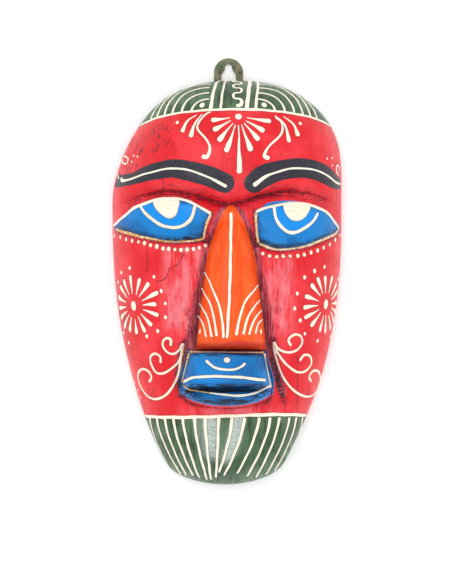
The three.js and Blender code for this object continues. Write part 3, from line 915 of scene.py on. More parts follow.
# ------------------------------------------------------------------ dots under the eyes
# A row of ivory dots follows each lower lid.
# Their sizes are uneven, because each is one touch of the cone.
LEFT_DOT_ROW = (
    (-80.4, 25.6), (-70, 22.8), (-59.4, 20.4), (-45, 16.5), (-30, 15.6), (-21.5, 16.5),
    (-15.4, 18.6),
)
RIGHT_DOT_ROW = ((25.8, 12.7), (33, 10.9), (47.9, 11.3), (63.7, 14.8), (75.1, 20.6), (80.6, 26))
DOT_RADIUS = 1.45
dots = new_beads()
for row, how_many in ((LEFT_DOT_ROW, 16), (RIGHT_DOT_ROW, 13)):
    path = bend(row)
    walked = np.concatenate(([0], np.cumsum(np.linalg.norm(np.diff(path, axis=0), axis=1))))
    for place in on_face(walk((walked, path), np.linspace(0, walked[-1], how_many))):
        place[:2] += hand.normal(0, 0.25, 2)
        drop(dots, place, DOT_RADIUS + hand.normal(0, 0.12), 1.1, stain=0.2)
ivory_piece(dots, "eye_dots")

# ------------------------------------------------------------------ cheek flowers
# Sixteen teardrops of ivory paint stand round a dot on each cheek, with a ring of dots outside them.
# They are spaced by eye, and two of the outer dots were never put in.
PETALS = 16
FLOWER_SPREAD = 1.22  # flowers run wider where the cheek turns away
PETAL_FROM = 8.2
PETAL_TO = 21.2
DOT_RING = 26.5
DOTS_MISSED = (3, 12)
for name, s, y in (("left_cheek_flower", -75, -24.4), ("right_cheek_flower", 82, -23.3)):
    flower = new_beads()
    drop(flower, around([(s, y)])[0], 2.9, 1.25)
    for k in range(PETALS):
        angle = 2 * math.pi * (k + 0.2 + hand.normal(0, 0.07)) / PETALS
        toward = np.array((FLOWER_SPREAD * math.cos(angle), math.sin(angle)))
        inner = PETAL_FROM + hand.normal(0, 0.4)
        outer = PETAL_TO + hand.normal(0, 0.9)
        line = np.array((s, y)) + np.linspace(inner, outer, 14)[:, None] * toward
        pipe(flower, around(line), (0.8, 1.2, 2.2, 3.5, 3.4))
        ring = np.array((s, y)) + (DOT_RING + hand.normal(0, 0.8)) * toward
        if k not in DOTS_MISSED:
            drop(flower, around([ring])[0], 1.4 + hand.normal(0, 0.12), 1.1)
    ivory_piece(flower, name)

# ------------------------------------------------------------------ cheek scrolls
# Three curls spring from the corner of the nose on each side and roll up over the jaw.
# They are ivory beads, stained dark where they spring, with three small dots outside the left ones.
LEFT_SPRING = (-31.5, -51)
RIGHT_SPRING = (33.4, -49.8)
LEFT_SCROLLS = (
    (
        LEFT_SPRING, (-33.6, -55), (-37.2, -58.3), (-41.5, -58.1), (-45.1, -54.5), (-45.8, -50.3),
        (-43, -47.4), (-40.1, -48.6), (-39.9, -53.1),
    ),
    (
        LEFT_SPRING, (-32, -57), (-34.3, -63.5), (-38.3, -68.1), (-44.4, -72.2), (-50.1, -72),
        (-53.7, -66.9), (-54.7, -61.2), (-51.5, -58.6), (-47.6, -60.6), (-47.2, -65.3),
    ),
    (
        LEFT_SPRING, (-33, -62), (-35.1, -74.2), (-39.3, -83), (-45.1, -88.9), (-51.5, -91),
        (-57.9, -87.5), (-62.4, -79.9), (-63.3, -72.8), (-60.3, -69.4), (-55.8, -71.4),
        (-53.9, -75.6), (-55.6, -79),
    ),
)
RIGHT_SCROLLS = (
    (
        RIGHT_SPRING, (36.5, -55), (42.8, -57.6), (49.4, -56), (53.7, -51), (52.6, -46),
        (47.9, -45), (43.8, -48.6), (45.6, -53.1),
    ),
    (
        RIGHT_SPRING, (34.5, -55), (37.9, -60.5), (42.9, -66.7), (49.4, -71.3), (55.8, -71),
        (60.1, -66), (59.2, -60.5), (55, -59.4), (51.7, -63.6),
    ),
    (
        RIGHT_SPRING, (33.8, -57), (37.2, -68.1), (40.8, -76.7), (46.9, -83.9), (52.6, -88),
        (60.1, -88.9), (65, -83.2), (66.6, -76), (65, -71), (61.3, -71), (58.7, -75), (60, -78.6),
    ),
)
scrolls = new_beads()
for line in LEFT_SCROLLS + RIGHT_SCROLLS:
    lay(scrolls, line, (2.6, 1.8, 1.8, 1.9, 1.8, 1.9, 2.0, 2.1), 0.15)
for spring, tail in ((LEFT_SPRING, (-0.5, -9)), (RIGHT_SPRING, (1.5, -9))):
    tail_end = np.array(spring) + tail
    pipe(scrolls, on_face(np.linspace(spring, tail_end, 8)), (2.4, 1.8, 1.2), stain=1)
for x, y in ((-66, -78.9), (-63.5, -84.6), (-61.8, -89.5)):
    dot(scrolls, (x, y), 0.9)
ivory_piece(scrolls, "cheek_scrolls")

# ------------------------------------------------------------------ nose lines
# A straight ivory bead runs down the ridge, and four bowed ones fan from its foot to each side of the nose.
# A dot fills the lower corner on each side.
NOSE_BOWS = (
    ((-15.9, -0.2), (-9.7, -13.5), (-4.3, -29), (-2.4, -47.2)), ((-18.2, -11.6), (-10.9, -26), (-7.2, -46)),
    ((-19.6, -22.4), (-13.8, -33.1), (-10.7, -46.7)), ((-20.4, -31.2), (-16.8, -38.1), (-14.7, -46.8)),
    ((22.4, -9.5), (11.8, -23.8), (6.4, -45.4)), ((23.4, -20.2), (15.9, -30.2), (11.4, -44.7)),
    ((24.6, -27.4), (18.8, -35.2), (15.7, -45.2)), ((25.2, -34), (21.7, -38.1), (20.3, -44.2)),
)
nose_beads = new_beads()
RIDGE_LINE = ((2.9, 42.4), (2.6, 15), (1.8, -16), (0, -47.4))
lay(nose_beads, RIDGE_LINE, (2.4, 2.1, 2.2, 2.1, 2.2, 1.9))
for line in NOSE_BOWS:
    lay(nose_beads, line, (1.3, 1.6, 1.8, 2.0))
dot(nose_beads, (-19.2, -42.6), 2.0)
dot(nose_beads, (24.2, -42.6), 1.7, 1.2)
ivory_piece(nose_beads, "nose_lines")

# ------------------------------------------------------------------ mouth lines
# The blue block of the mouth is outlined, with a line along each lip and a smile and a dot on the upper lip.
# The outline is gilded and rubbed with dark wash, like the lower lids.
mouth_beads = new_beads()
MOUTH_FRAME = (
    ((-26.6, -57.3), (-8, -57.3), (8, -57.5), (26.3, -57.6)), ((-26.6, -57.6), (-29.6, -68.5), (-32, -79)),
    ((26.3, -58), (28.4, -68.1), (31.3, -82.6)),
)
UPPER_LIP = ((-31, -78.4), (-22.9, -75.3), (-7.9, -74.6), (8.6, -75.2), (27.6, -77.4))
LIP_CORNER = ((-31, -81), (-27.2, -83.9), (-20, -85.4), (-11, -86.5))
LOWER_LIP = ((-12.5, -86.3), (-2.1, -87.6), (8.6, -88.2), (19.3, -86.7), (31, -81.2))
SMILE = ((-15, -63.1), (-9.3, -68.1), (-2.1, -69.6), (5.7, -69.6), (10.7, -67.4), (13, -65))
for line, stained in zip(MOUTH_FRAME, (0.8, 0.9, 0.45)):
    lay(mouth_beads, line, (2.3, 2.0, 2.2, 2.0), stained)
lay(mouth_beads, UPPER_LIP, (2.5, 2.1, 2.2, 2.2, 2.1, 2.4), 0.1)
lay(mouth_beads, LIP_CORNER, (1.7, 1.9, 1.8, 2.0), 0.9)
lay(mouth_beads, LOWER_LIP, (2.0, 2.4, 2.6, 2.4, 2.4))
lay(mouth_beads, SMILE, (2.3, 1.8, 1.9, 1.8, 2.2))
dot(mouth_beads, (0, -62.9), 2.3)
ivory_piece(mouth_beads, "mouth_lines")

# ------------------------------------------------------------------ beard lines
# Under the jaw the wood is green again, with a heavy ivory line across it.
# Sixteen strokes are drawn down from that line to the chin, and thin out as the paint runs short.
BEARD_Y = -103
STROKES = (
    (-55.1, -38.6, -143.3), (-50.1, -32.9, -144), (-44.4, -29, -144.7), (-38.3, -24.3, -144.7),
    (-31.5, -20, -146.1), (-23.3, -14.3, -147.6), (-15.7, -11.4, -147.6), (-6, -7.9, -146.1),
    (3.6, -5.7, -142.5), (12.5, -2.1, -144.7), (22.9, 7.2, -143.3), (30.8, 14.3, -145.4),
    (37.2, 20.7, -146.1), (44.4, 27.9, -144), (49.4, 32.9, -143.3), (54, 36.5, -143.3),
)
beard = new_beads()
beard_run = [(s, BEARD_Y + 1.0 * math.sin(s / 26)) for s in np.linspace(-78, 78, 70)]
pipe(beard, around(beard_run), (2.2, 2.5, 2.6, 2.4, 2.7, 2.5, 2.3))
for top_x, foot_x, foot_y in STROKES:
    t = np.linspace(0, 1, 24)
    x = top_x + (foot_x - top_x) * t**1.5
    y = BEARD_Y - 0.8 + (foot_y - BEARD_Y) * t
    pipe(beard, on_face(np.transpose((x, y))), (2.5, 2.1, 2.0, 1.9, 1.8, 1.5))
ivory_piece(beard, "beard_lines")

# ------------------------------------------------------------------ painted ground
# The front is brushed over red in flat colours: green hair and beard, black brows, blue eyes, orange nose.
# A dark antique wash and painted shade stay in the cuts and the corners, the wash lies along the gilded
# lines, and the back is bare wood.
# It comes after the lines here only because the wash is placed by them.
count = len(wood.data.vertices)
flat = np.empty(count * 3)
wood.data.vertices.foreach_get("co", flat)
X, Y, Z = flat.reshape(-1, 3).T / MM


def paint_field(name, values):
    """Stores one number per point of the wood for the paint to read."""
    layer = wood.data.attributes.new(name, "FLOAT", "POINT")
    layer.data.foreach_set("value", np.asarray(values, np.float32))


def inside(outline, x, y):
    """Distance inside a closed outline, negative outside."""
    a = np.array(outline, float)
    best = np.full(len(x), 1e9)
    within = np.zeros(len(x), bool)
    for (ax, ay), (bx, by) in zip(a, np.roll(a, -1, axis=0)):
        length = max((bx - ax) ** 2 + (by - ay) ** 2, 1e-9)
        t = np.clip(((x - ax) * (bx - ax) + (y - ay) * (by - ay)) / length, 0, 1)
        best = np.minimum(best, (x - ax - t * (bx - ax)) ** 2 + (y - ay - t * (by - ay)) ** 2)
        if ay != by:
            within ^= ((ay > y) != (by > y)) & (x < ax + (y - ay) * (bx - ax) / (by - ay))
    return np.where(within, 1, -1) * np.sqrt(best)


def stroke(points, x, y):
    """How far inside a brush stroke whose stations are (x, y, half width)."""
    best = np.full(len(x), -1e9)
    for px, py, half in bend(points, 10):
        best = np.maximum(best, half - np.hypot(x - px, y - py))
    return best


def beside_line(points, x, y):
    """Signed distance to the left of a thin line, and how far a point lies past its ends."""
    path = bend(points, 12)
    ahead = np.gradient(path, axis=0)
    ahead /= np.linalg.norm(ahead, axis=1)[:, None]
    nearest = np.argmin((x[:, None] - path[:, 0]) ** 2 + (y[:, None] - path[:, 1]) ** 2, axis=1)
    dx, dy = x - path[nearest, 0], y - path[nearest, 1]
    tx, ty = ahead[nearest].T
    return tx * dy - ty * dx, np.abs(tx * dx + ty * dy)


HAIR_SLOPE = math.hypot(1, HAIR_TILT)
paint_field("hair", (Y - HAIR_TILT * Z - HAIR_LEVEL) / HAIR_SLOPE)
paint_field("beard", BEARD_Y - Y)

LEFT_BROW = (
    (-80, 64.5, 4.6), (-67, 66.4, 4.2), (-55, 70.6, 5.7), (-40, 73.4, 6.5), (-30, 72.3, 7.1),
    (-14, 68.3, 7.4), (-1.8, 63.2, 7.2),
)
RIGHT_BROW = (
    (19.3, 63.2, 7.2), (26, 68, 8), (36.5, 71.8, 7.2), (48.6, 73.7, 7), (60, 73, 6.9), (69.4, 69.4, 6.3),
    (76.5, 64, 4.5), (83, 62.4, 4),
)
OFF = 9  # taken from a field of distances where its zone has to end
round_side = OFF * ease(12, 7, Z)
paint_field("brow", np.maximum(stroke(LEFT_BROW, X, Y), stroke(RIGHT_BROW, X, Y)) - round_side)

left_eye = np.vstack([bend(line) for line in (LEFT_UPPER_LID, LEFT_INNER_LID, LEFT_LOWER_LID)])
right_lids = (RIGHT_LOWER_LID[::-1], RIGHT_UPPER_LID[::-1], RIGHT_INNER_LID[::-1])
right_eye = np.vstack([bend(line) for line in right_lids])
eye = np.maximum(inside(left_eye, X, Y), inside(right_eye, X, Y))
eye += 2.2 * bell(X, 32, 14) * bell(Y, 50, 4) + 1.2 * bell(X, 84, 5) * bell(Y, 32, 8)
paint_field("eye", eye - round_side)
paint_field("iris", np.maximum(inside(bend(LEFT_IRIS), X, Y), inside(bend(RIGHT_IRIS), X, Y)))

on_nose = -beside_nose(X, Y)
paint_field("nose", np.minimum(np.minimum(on_nose - 0.7, Y - NOSE_FOOT), NOSE_TOP - 1 - Y))
# painted shade: the underside of the nose is darker orange
paint_field("nose_underside_shade", -50.5 - Y + 1.2 * np.sin(X / 5) + 0.06 * X)
lip_foot = SLIT_Y - LIP_DROP * lower_lip(X) + 1.2
beside_lips = mouth_half(Y) + 1.6 - np.abs(X - MOUTH_X)
paint_field("lips", np.minimum(beside_lips, np.minimum(MOUTH_TOP + 0.6 - Y, Y - lip_foot)))
# A pale band along the foot of the lower lip, on the left: a painted highlight.
paint_field("lip_foot", bell(Y, lip_foot + 1.8, 1.6) * ease(12, -6, X))

strip = through((-50, 7.5), (-20, 6), (0, 4.5), (40, 4))(Y)
beside = beside_nose(X, Y)
by_nose = np.minimum(strip - beside, beside + 2.4) - OFF * (ease(44, 54, Y) + ease(-54, -60, Y))
left_cut = 3.2 - np.abs(X - left_groove_x(Y)) - OFF * (ease(-70, -92, Y) + ease(-44, -40, Y))
right_cut = 3.4 - np.abs(X - right_groove_x(Y)) - OFF * (ease(-84, -98, Y) + ease(-44, -40, Y))
paint_field("channel", np.maximum(by_nose, np.maximum(left_cut, right_cut)))
# Pale streaky bevels beside the nose: worn paint and a painted highlight.
wear_and_highlight_left = ease(-50, -38, X) * ease(-14, -20, X) * ease(20, 13, Y) * ease(-52, -36, Y)
wear_and_highlight_right = ease(52, 40, X) * ease(18, 24, X) * ease(14, 4, Y) * ease(-50, -34, Y)
worn_chin = 0.7 * ease(42, 20, np.abs(X - 2)) * bell(Y, -99.5, 3.5)
paint_field("wear_and_highlight", wear_and_highlight_left + wear_and_highlight_right + worn_chin)

GRID = 0.5  # spacing of the heights that the wash and the painted shade are worked out from
grid_x = np.arange(-90, 96, GRID)
grid_y = np.arange(CHIN_Y - 5, CROWN_Y + 5, GRID)
heights = carved_height(*np.meshgrid(grid_x, grid_y))


def blurred(field, wide):
    """A grid of the front view, smoothed both ways over that width."""
    reach = int(3 * wide / GRID)
    weights = bell(np.arange(-reach, reach + 1) * GRID, 0, wide * math.sqrt(2))
    weights /= weights.sum()
    for _ in range(2):
        padded = np.pad(field, ((0, 0), (reach, reach)), mode="edge")
        field = np.array([np.convolve(row, weights, "valid") for row in padded]).T
    return field


def on_wood(field):
    """A grid of the front view, read at every point of the wood."""
    column = np.clip((X - grid_x[0]) / GRID, 0, len(grid_x) - 1.001)
    row = np.clip((Y - grid_y[0]) / GRID, 0, len(grid_y) - 1.001)
    i, j = row.astype(int), column.astype(int)
    u, v = row - i, column - j
    top = field[i, j] * (1 - v) + field[i, j + 1] * v
    return top * (1 - u) + (field[i + 1, j] * (1 - v) + field[i + 1, j + 1] * v) * u


steep = np.hypot(*np.gradient(heights, GRID))
shade_off = 1 / (1 + blurred(steep, 1.0)) * ease(1, 16, heights)
under_lip = bell(Y, -100, 6)  # less wash and painted shade here
# Dark wash and painted shade: the more concave the carving, the darker, finely in the cuts and broadly in the
# hollows.
paint_field("cuts", on_wood((blurred(heights, 0.9) - heights) * shade_off) * (1 - 0.6 * under_lip))
paint_field("broad_wash_and_shade", on_wood((blurred(heights, 3.2) - heights) * shade_off) * (1 - 0.9 * under_lip))

lines_tree = KDTree(len(laid_points))
dirt_tree = KDTree(len(laid_points))
for index, (px, py, pz, wide, stained) in enumerate(laid_points):
    lines_tree.insert((px, py, pz), index)
    if stained > 0.6:
        dirt_tree.insert((px, py, pz), index)
lines_tree.balance()
dirt_tree.balance()
points = list(zip(X, Y, Z))
by_line = [lines_tree.find(point)[1:] for point in points]
paint_field("near_line", [gap - laid_points[index][3] for index, gap in by_line])
paint_field("near_gilt", [dirt_tree.find(point)[2] for point in points])

CRACKS = (  # where the wood has split in drying
    ((-57.4, 19), (-56.8, 10), (-57.2, 0)), ((50, -60), (50.3, -78), (50, -101)), ((41.3, -91), (41.6, -101)),
    ((-31, 12), (-35, 5), (-41, 2), (-44, -5), (-50, -7)), ((-52, -83), (-55.5, -93)),
    ((-46, 68), (-45.4, 58)),
)
crack = np.full(count, 4.0)
split_here = np.zeros(count)
for line in CRACKS:
    side, past = beside_line(line, X, Y)
    closer = np.abs(side) + past < np.abs(crack)
    crack = np.where(closer, side, crack)
    split_here = np.where(closer, ease(3.2, 1.6, np.abs(side)) * ease(1.4, 0.4, past), split_here)
paint_field("crack", crack)
paint_field("split_here", split_here)
# Painted shade in the slit of the mouth, under the lower lip and under the nose, with grime at the mouth's
# corners and streaks of grime over the lower lids.
slit = 1.2 * bell(over_slit(X, Y), 1.6, 3.4) * ease(32, 24, np.abs(X))
slit += 0.6 * bell(over_slit(X, Y), -9, 1.6) * ease(26, 12, np.abs(X + 4))
shade_under_lower_lip = 1.1 * bell(Y, lip_foot + 3.6, 2.0) * ease(34, 25, np.abs(X))
corner = bell(X, right_groove_x(Y) - 1, 2.6) * ease(-56, -64, Y) * ease(-99, -90, Y)
corner += bell(X, -34, 2.2) * bell(Y, -80, 8) + 1.3 * bell(X, -28, 6) * bell(Y, -89, 1.8)
shadow_under_nose = bell(Y, MOUTH_TOP - 2, 1.8) * ease(28, 22, np.abs(X))
lid_streaks = np.zeros(count)
for lid in (LEFT_LOWER_LID, RIGHT_LOWER_LID):
    side, past = beside_line(lid, X, Y)
    lid_streaks = np.maximum(lid_streaks, bell(np.abs(side), 2.4, 2.4) * (past < 1) * (eye > 0))
lid_streaks *= 0.45 + 0.5 * bell(X, -22, 16) + 0.4 * bell(X, 30, 12)
paint_field("grime_and_shade", slit + 0.9 * shade_under_lower_lip + 0.8 * corner + 0.7 * shadow_under_nose + lid_streaks)
out = np.abs(X - FACE_X)
# Dark wash and painted shade in the fold under each brow's ledge.
brow_fold_wash_and_shade = bell(Y, crease_y(out) - 2.4, 3.4) * ease(88, 60, out)
brow_fold_wash_and_shade += 0.5 * bell(Y, crease_y(out) + 3, 1.5) * ease(80, 50, out)
paint_field("brow_fold_wash_and_shade", brow_fold_wash_and_shade * (Z > 30))
SCUFFS = (  # (x, half width, y, half height, strength)
    (-50, 13, 92, 14, 1), (-71, 9, 80, 14, 1), (-76, 7, -40, 30, 0.8), (-38, 7, -50, 9, 0.8),
    (36, 4, -34, 16, 0.8), (-26, 4, -36, 12, 0.7),
)
scuffs = 0.4 * bell(X, 76, 6) + 0.3 * bell(X, 0, 60)
for x, wide, y, tall, strength in SCUFFS:
    scuffs += strength * bell(X, x, wide) * bell(Y, y, tall)
paint_field("scuff", scuffs)
down = share(0, 42, BEARD_Y - Y) ** 1.5
bleached = bell(X, -12 + 2 * down, 6) * (1 - 0.8 * down) + bell(X, 8 - 12 * down, 5) * (1 - 0.4 * down)
bleached = 1.25 * bleached + 0.4 * bell(X, -23 + 8 * down, 3) * (1 - down)
bleached *= ease(-144, -128, Y)
paint_field("bleach", bleached * (Y < BEARD_Y))
inward = half_width(Y) - np.abs(X - centre_line(Y))
paint_field("bare", np.where((carved_height(X, Y) - Z > 2) & (inward > 1), 6, 0))

paint = Coats("folk_paint", (226, 26, 38), 0.38)
paint.shader.inputs["Specular IOR Level"].default_value = 0.28
blotch = paint.noise(26, detail=4)
brushed = paint.noise(2.2, (1, 9, 4), 3)
fine = paint.noise(0.7, (1, 8, 5), 3)
speck = paint.noise(1.3, detail=5, roughness=0.6)
across = paint.noise(0.8, (16, 1, 3), 4, 0.6)
flow = paint.noise(1.2, (9, 1, 2), 4, 0.6)
ragged = paint.times(paint.combine("SUBTRACT", paint.noise(3.5, detail=3), 0.5), 2.4)
tidy = paint.times(paint.combine("SUBTRACT", paint.noise(2.5, detail=2), 0.5), 0.9)


def zone(name, edge=0.0, soft=0.35, wobble=tidy):
    """The share of a painted zone: 1 inside its edge, 0 outside, with a hand-brushed border."""
    return paint.step(paint.combine("ADD", paint.field(name), wobble), edge - soft, edge + soft)


# red, patchy and brushed out, then worn pale on the cheeks, where pale streaks also paint the highlight on
# the bevels beside the nose
paint.coat((240, 52, 62), (blotch, 0.42, 0.66))
paint.coat((208, 18, 32), (brushed, 0.54, 0.8), 0.35)
paint.coat((242, 128, 138), "wear_and_highlight", (paint.noise(7, (1, 3, 2), 3), 0.34, 0.62), 0.8)
paint.coat((250, 172, 178), "wear_and_highlight", (paint.noise(0.6, (1, 26, 8), 3), 0.54, 0.66), 0.38)
# scratched purple wash in the channels beside the nose and mouth
channel_share = zone("channel", 0.4, 0.9, ragged)
scratch = paint.noise(0.9, (1, 14, 6), 4, 0.65)
paint.coat((186, 78, 96), channel_share, 0.85)
paint.coat((70, 24, 40), channel_share, (scratch, 0.5, 0.6), 0.75)
paint.coat((226, 158, 168), channel_share, (scratch, 0.44, 0.36), 0.6)
# dark wash and painted shade in the hollows, the cuts and the crease under the brows, and scuffs over the red
paint.coat((112, 18, 34), ("broad_wash_and_shade", 0.3, 1.0), (brushed, 0.34, 0.6), 0.8)
paint.coat((58, 14, 24), ("cuts", 0.07, 0.3), (fine, 0.36, 0.58), 0.8)
paint.coat((120, 16, 40), "brow_fold_wash_and_shade", (across, 0.4, 0.62), 0.85)
paint.coat((56, 14, 26), "brow_fold_wash_and_shade", (across, 0.57, 0.66), 0.9)
paint.coat((228, 110, 130), "brow_fold_wash_and_shade", (across, 0.4, 0.32), 0.45)
scuffed = (paint.noise(5, detail=6, roughness=0.7), 0.5, 0.6)
paint.coat((104, 30, 44), "scuff", scuffed, (fine, 0.4, 0.54), 0.9)

green = paint.mixed((58, 90, 56), (84, 114, 84), (blotch, 0.4, 0.62))
green = paint.mixed(green, (42, 56, 44), (brushed, 0.48, 0.68), 0.75)
green = paint.mixed(green, (196, 208, 202), ("bleach", 0.1, 0.9), (speck, 0.26, 0.52), 0.85)
paint.coat(green, paint.combine("MAXIMUM", zone("hair", 0, 0.2), zone("beard", 0, 0.2)))

black = paint.mixed((46, 44, 54), (66, 64, 76), (speck, 0.5, 0.74))
# grey streaks along the black are painted reflections of the glossy paint
black = paint.mixed(black, (120, 118, 128), (across, 0.6, 0.74), 0.35)
paint.coat(black, zone("brow"))

orange = paint.mixed((248, 80, 12), (250, 102, 24), (brushed, 0.44, 0.66))
# the underside of the nose is painted a darker orange, as painted shade
orange = paint.mixed(orange, (222, 58, 26), zone("nose_underside_shade", 0, 1.2), 0.85)
paint.coat(orange, zone("nose", 0, 0.3))

blue = paint.mixed((0, 128, 206), (4, 104, 176), (blotch, 0.44, 0.6))
blue = paint.mixed(blue, (44, 134, 204), (fine, 0.5, 0.7), 0.4)
# pale blue streaks along the foot of the lower lip are a painted highlight
blue = paint.mixed(blue, (120, 180, 226), "lip_foot", (flow, 0.46, 0.58), 0.8)
blue = paint.mixed(blue, (0, 142, 234), zone("iris", 0, 0.3))
on_lips = zone("lips", 0, 0.4)
paint.coat(blue, paint.combine("MAXIMUM", zone("eye", -0.9, 0.3), on_lips))
# dark wash and painted shade in the cuts of the lips
paint.coat((18, 26, 44), on_lips, ("cuts", 0.06, 0.3), 0.9)
# near black grime and painted shade: painted shade in the slit of the mouth, under the nose and under the
# lower lip, grime at the corners of the mouth and over the lower lids, and beside stained beads
paint.coat((20, 24, 38), ("grime_and_shade", 0.1, 0.8), (flow, 0.4, 0.5), 0.92)
paint.coat((24, 20, 26), ("near_gilt", 4.4, 1.0), (speck, 0.44, 0.54), 0.92)
# a thin dark edge round each bead, and the cracks
paint.coat((70, 26, 30), ("near_line", 0.7, 0.1), (speck, 0.4, 0.56), 0.6)
off_crack = paint.combine("ABSOLUTE", paint.combine("ADD", paint.field("crack"), paint.times(ragged, 0.5)))
split = paint.times((off_crack, 0.42, 0.16), ("split_here", 0.5, 0.8))
paint.coat((42, 16, 20), split, (speck, 0.38, 0.5), 0.85)

bare = zone("bare", 3, 0.5, paint.times(ragged, 1.6))
wood_tone = paint.mixed((168, 132, 94), (112, 80, 52), (paint.noise(1.1, (1, 22, 6), 4, 0.6), 0.38, 0.66))
wood_tone = paint.mixed(wood_tone, (84, 58, 40), (paint.noise(16), 0.5, 0.7), 0.5)
paint.coat(wood_tone, bare)
rough = paint.combine("ADD", 0.33, paint.times((brushed, 0.4, 0.7), 0.12))
paint.feed(paint.shader.inputs["Roughness"], paint.combine("ADD", rough, paint.times(bare, 0.4)))
relief = paint.combine("ADD", paint.times(fine, 0.6), paint.times(brushed, 0.7))
paint.bump(paint.combine("SUBTRACT", relief, paint.times(split, 1.5)), 0.16)
wood.data.materials.clear()
wood.data.materials.append(paint.done())

# ------------------------------------------------------------------ hanger plate
# A small brass keyhole plate is let into the back and stands up past the crown, tarnished and daubed green.
# It is a round-ended blank with a keyhole and two screw holes cut through it and its edges rolled over.
EDGE_ROLL = 0.3  # radius of the plate's softened edges
SLOT_RADIUS = 2.6
SLOT_Y = PLATE_HIGH.y - 7
HEAD_RADIUS = 5.2
SHOULDER_DROP = 3.4
plate_thick = PLATE_HIGH.z - PLATE_LOW.z


def extruded(outline, base, thick):
    """A slab with that outline."""
    slab = bmesh.new()
    slab.faces.new([slab.verts.new((x, y, base)) for x, y in outline])
    made = bmesh.ops.extrude_face_region(slab, geom=slab.faces[:])["geom"]
    raised = [v for v in made if isinstance(v, bmesh.types.BMVert)]
    bmesh.ops.translate(slab, vec=(0, 0, thick), verts=raised)
    bmesh.ops.recalc_face_normals(slab, faces=slab.faces)
    return slab


def keyhole():
    """The outline of the hole: a narrow round end over a wide one, with shoulders between."""
    half_turn = np.linspace(0, math.pi, 24)
    upper = [(SLOT_RADIUS * math.cos(a), SLOT_Y + SLOT_RADIUS * math.sin(a)) for a in half_turn]
    turns = np.linspace(math.pi, 2 * math.pi, 40)
    lower = [(HEAD_RADIUS * math.cos(a), NAIL_Y + HEAD_RADIUS * math.sin(a)) for a in turns]
    widen = np.linspace(0, 1, 10)[1:]
    shoulder_x = SLOT_RADIUS + (HEAD_RADIUS - SLOT_RADIUS) * ease(0, 1, widen)
    shoulder_y = SLOT_Y - 0.5 - (SLOT_Y - NAIL_Y - SHOULDER_DROP) * widen
    left = list(zip(-shoulder_x, shoulder_y))
    right = list(zip(shoulder_x, shoulder_y))[::-1]
    return [(PLATE_X + x, y) for x, y in upper + left + lower + right]


plate = shown(round_ended(PLATE_LOW.y, PLATE_HIGH.y, PLATE_RADIUS, PLATE_LOW.z, plate_thick), "hanger")
cut_away(plate, shown(extruded(keyhole(), PLATE_LOW.z - 1, plate_thick + 2), "keyhole_cutter"))
cut_away(plate, shown(screw_pair(GAP), "screw_cutter"))
rolled = bmesh.new()
rolled.from_mesh(plate.data)
bmesh.ops.dissolve_limit(rolled, angle_limit=0.02, verts=rolled.verts, edges=rolled.edges)
rims = [edge for edge in rolled.edges if edge.calc_face_angle(0) > 1.2]
bmesh.ops.bevel(
    rolled, geom=rims, offset=EDGE_ROLL * MM, segments=3, profile=0.5, affect="EDGES", material=-1,
    clamp_overlap=True,
)
for face in rolled.faces:
    face.smooth = abs(face.normal.z) < 0.99
rolled.to_mesh(plate.data)
rolled.free()
brass = Coats("tarnished_brass", (124, 120, 92), 0.42)
brass.shader.inputs["Metallic"].default_value = 0.3
brass.coat((104, 88, 66), (brass.noise(4.5), 0.44, 0.6))
brass.coat((80, 104, 72), (brass.noise(6.5, detail=4), 0.5, 0.62))
brass.coat((34, 32, 30), (brass.noise(3.2, detail=4), 0.6, 0.66))
brass.coat((158, 150, 128), (brass.noise(1.2), 0.6, 0.7), 0.5)
brass.bump(brass.noise(1.5), 0.12)
plate.data.materials.append(brass.done())
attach(plate, "root")
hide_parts("hanger_plate")

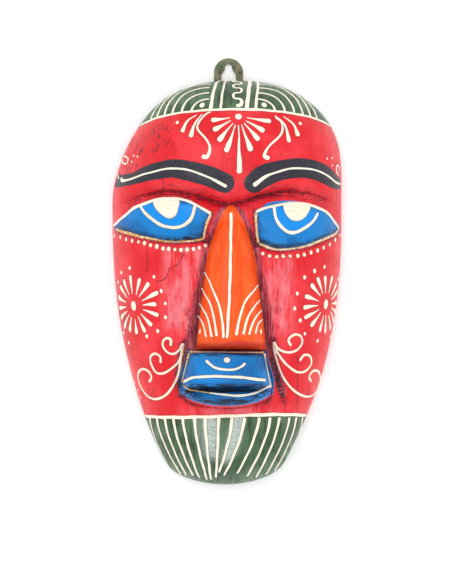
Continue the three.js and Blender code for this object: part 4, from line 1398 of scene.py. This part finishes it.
# ------------------------------------------------------------------ screws
# Two short countersunk steel screws hold the plate, with a slit across each head and a turned thread.
# Each is a profile spun round its own line, and the slit is cut across the face.
SLIT_WIDTH = 0.7
SLIT_DEEP = 0.6
steel = Coats("dull_steel", (150, 146, 138), 0.38)
steel.shader.inputs["Metallic"].default_value = 0.85
steel.coat((92, 70, 50), (steel.noise(1.6, detail=4), 0.56, 0.68))
steel_finish = steel.done()
for name, side, slit_turn in (("hanger_screw_left", -1, -0.2), ("hanger_screw_right", 1, 0.8)):
    x = PLATE_X + side * SCREW_SPREAD
    screw = shown(screw_body(x, 0, True), "turned_" + name)
    slit = bmesh.new()
    bmesh.ops.create_cube(slit, size=1)
    bmesh.ops.scale(slit, vec=(3 * SCREW_HEAD, SLIT_WIDTH, 2 * SLIT_DEEP), verts=slit.verts)
    bmesh.ops.rotate(slit, matrix=Matrix.Rotation(slit_turn, 3, "Z"), verts=slit.verts)
    bmesh.ops.translate(slit, vec=(x, SCREW_Y, SCREW_FACE), verts=slit.verts)
    cut_away(screw, shown(slit, "slit_cutter"))
    for face in screw.data.polygons:
        face.use_smooth = abs(face.normal.z) < 0.95
    screw.data.materials.append(steel_finish)
    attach(screw, "root")
    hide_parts(name)

# ------------------------------------------------------------------ floor, lights and camera
# The mask lies face up on a pale floor, seen from straight above.
# Two soft boxes and a white room light it evenly.
floor_mesh = bmesh.new()
bmesh.ops.create_grid(floor_mesh, x_segments=1, y_segments=1, size=3000)
floor = shown(floor_mesh, "floor")
pale = bpy.data.materials.new("pale_floor")
pale.use_nodes = True
pale_shader = pale.node_tree.nodes["Principled BSDF"]
pale_shader.inputs["Base Color"].default_value = (0.9, 0.9, 0.9, 1)
pale_shader.inputs["Roughness"].default_value = 0.8
pale_shader.inputs["Emission Color"].default_value = (1, 1, 1, 1)
pale_shader.inputs["Emission Strength"].default_value = 0.2
floor.data.materials.append(pale)


def soft_box(name, place, size, power):
    """A round soft light that faces the mask."""
    data = bpy.data.lights.new(name, "AREA")
    data.shape = "DISK"
    data.size = size
    data.energy = power
    lamp = bpy.data.objects.new(name, data)
    lamp.location = place
    lamp.rotation_euler = Vector(place).to_track_quat("Z", "Y").to_euler()
    bpy.context.scene.collection.objects.link(lamp)


soft_box("key_light", (-0.5, 0.7, 1.7), 0.9, 7)
soft_box("fill_light", (0.6, -0.7, 1.7), 1.2, 5)

world = bpy.data.worlds.new("studio")
world.use_nodes = True
world.node_tree.nodes["Background"].inputs["Color"].default_value = (1, 1, 1, 1)
world.node_tree.nodes["Background"].inputs["Strength"].default_value = 0.9
scene = bpy.context.scene
scene.world = world
scene.view_settings.view_transform = "Standard"

VIEW_HEIGHT = 0.4178  # what the frame takes in from top to bottom
CAMERA_AWAY = 14.0  # far off, so that the high parts don't spread
camera_data = bpy.data.cameras.new("camera")
camera_data.sensor_width = 36
camera_data.lens = 36 * CAMERA_AWAY / VIEW_HEIGHT
camera_data.clip_end = 40
camera = bpy.data.objects.new("camera", camera_data)
camera.location = (-0.0007, -0.0145, CAMERA_AWAY)
scene.collection.objects.link(camera)
scene.camera = camera
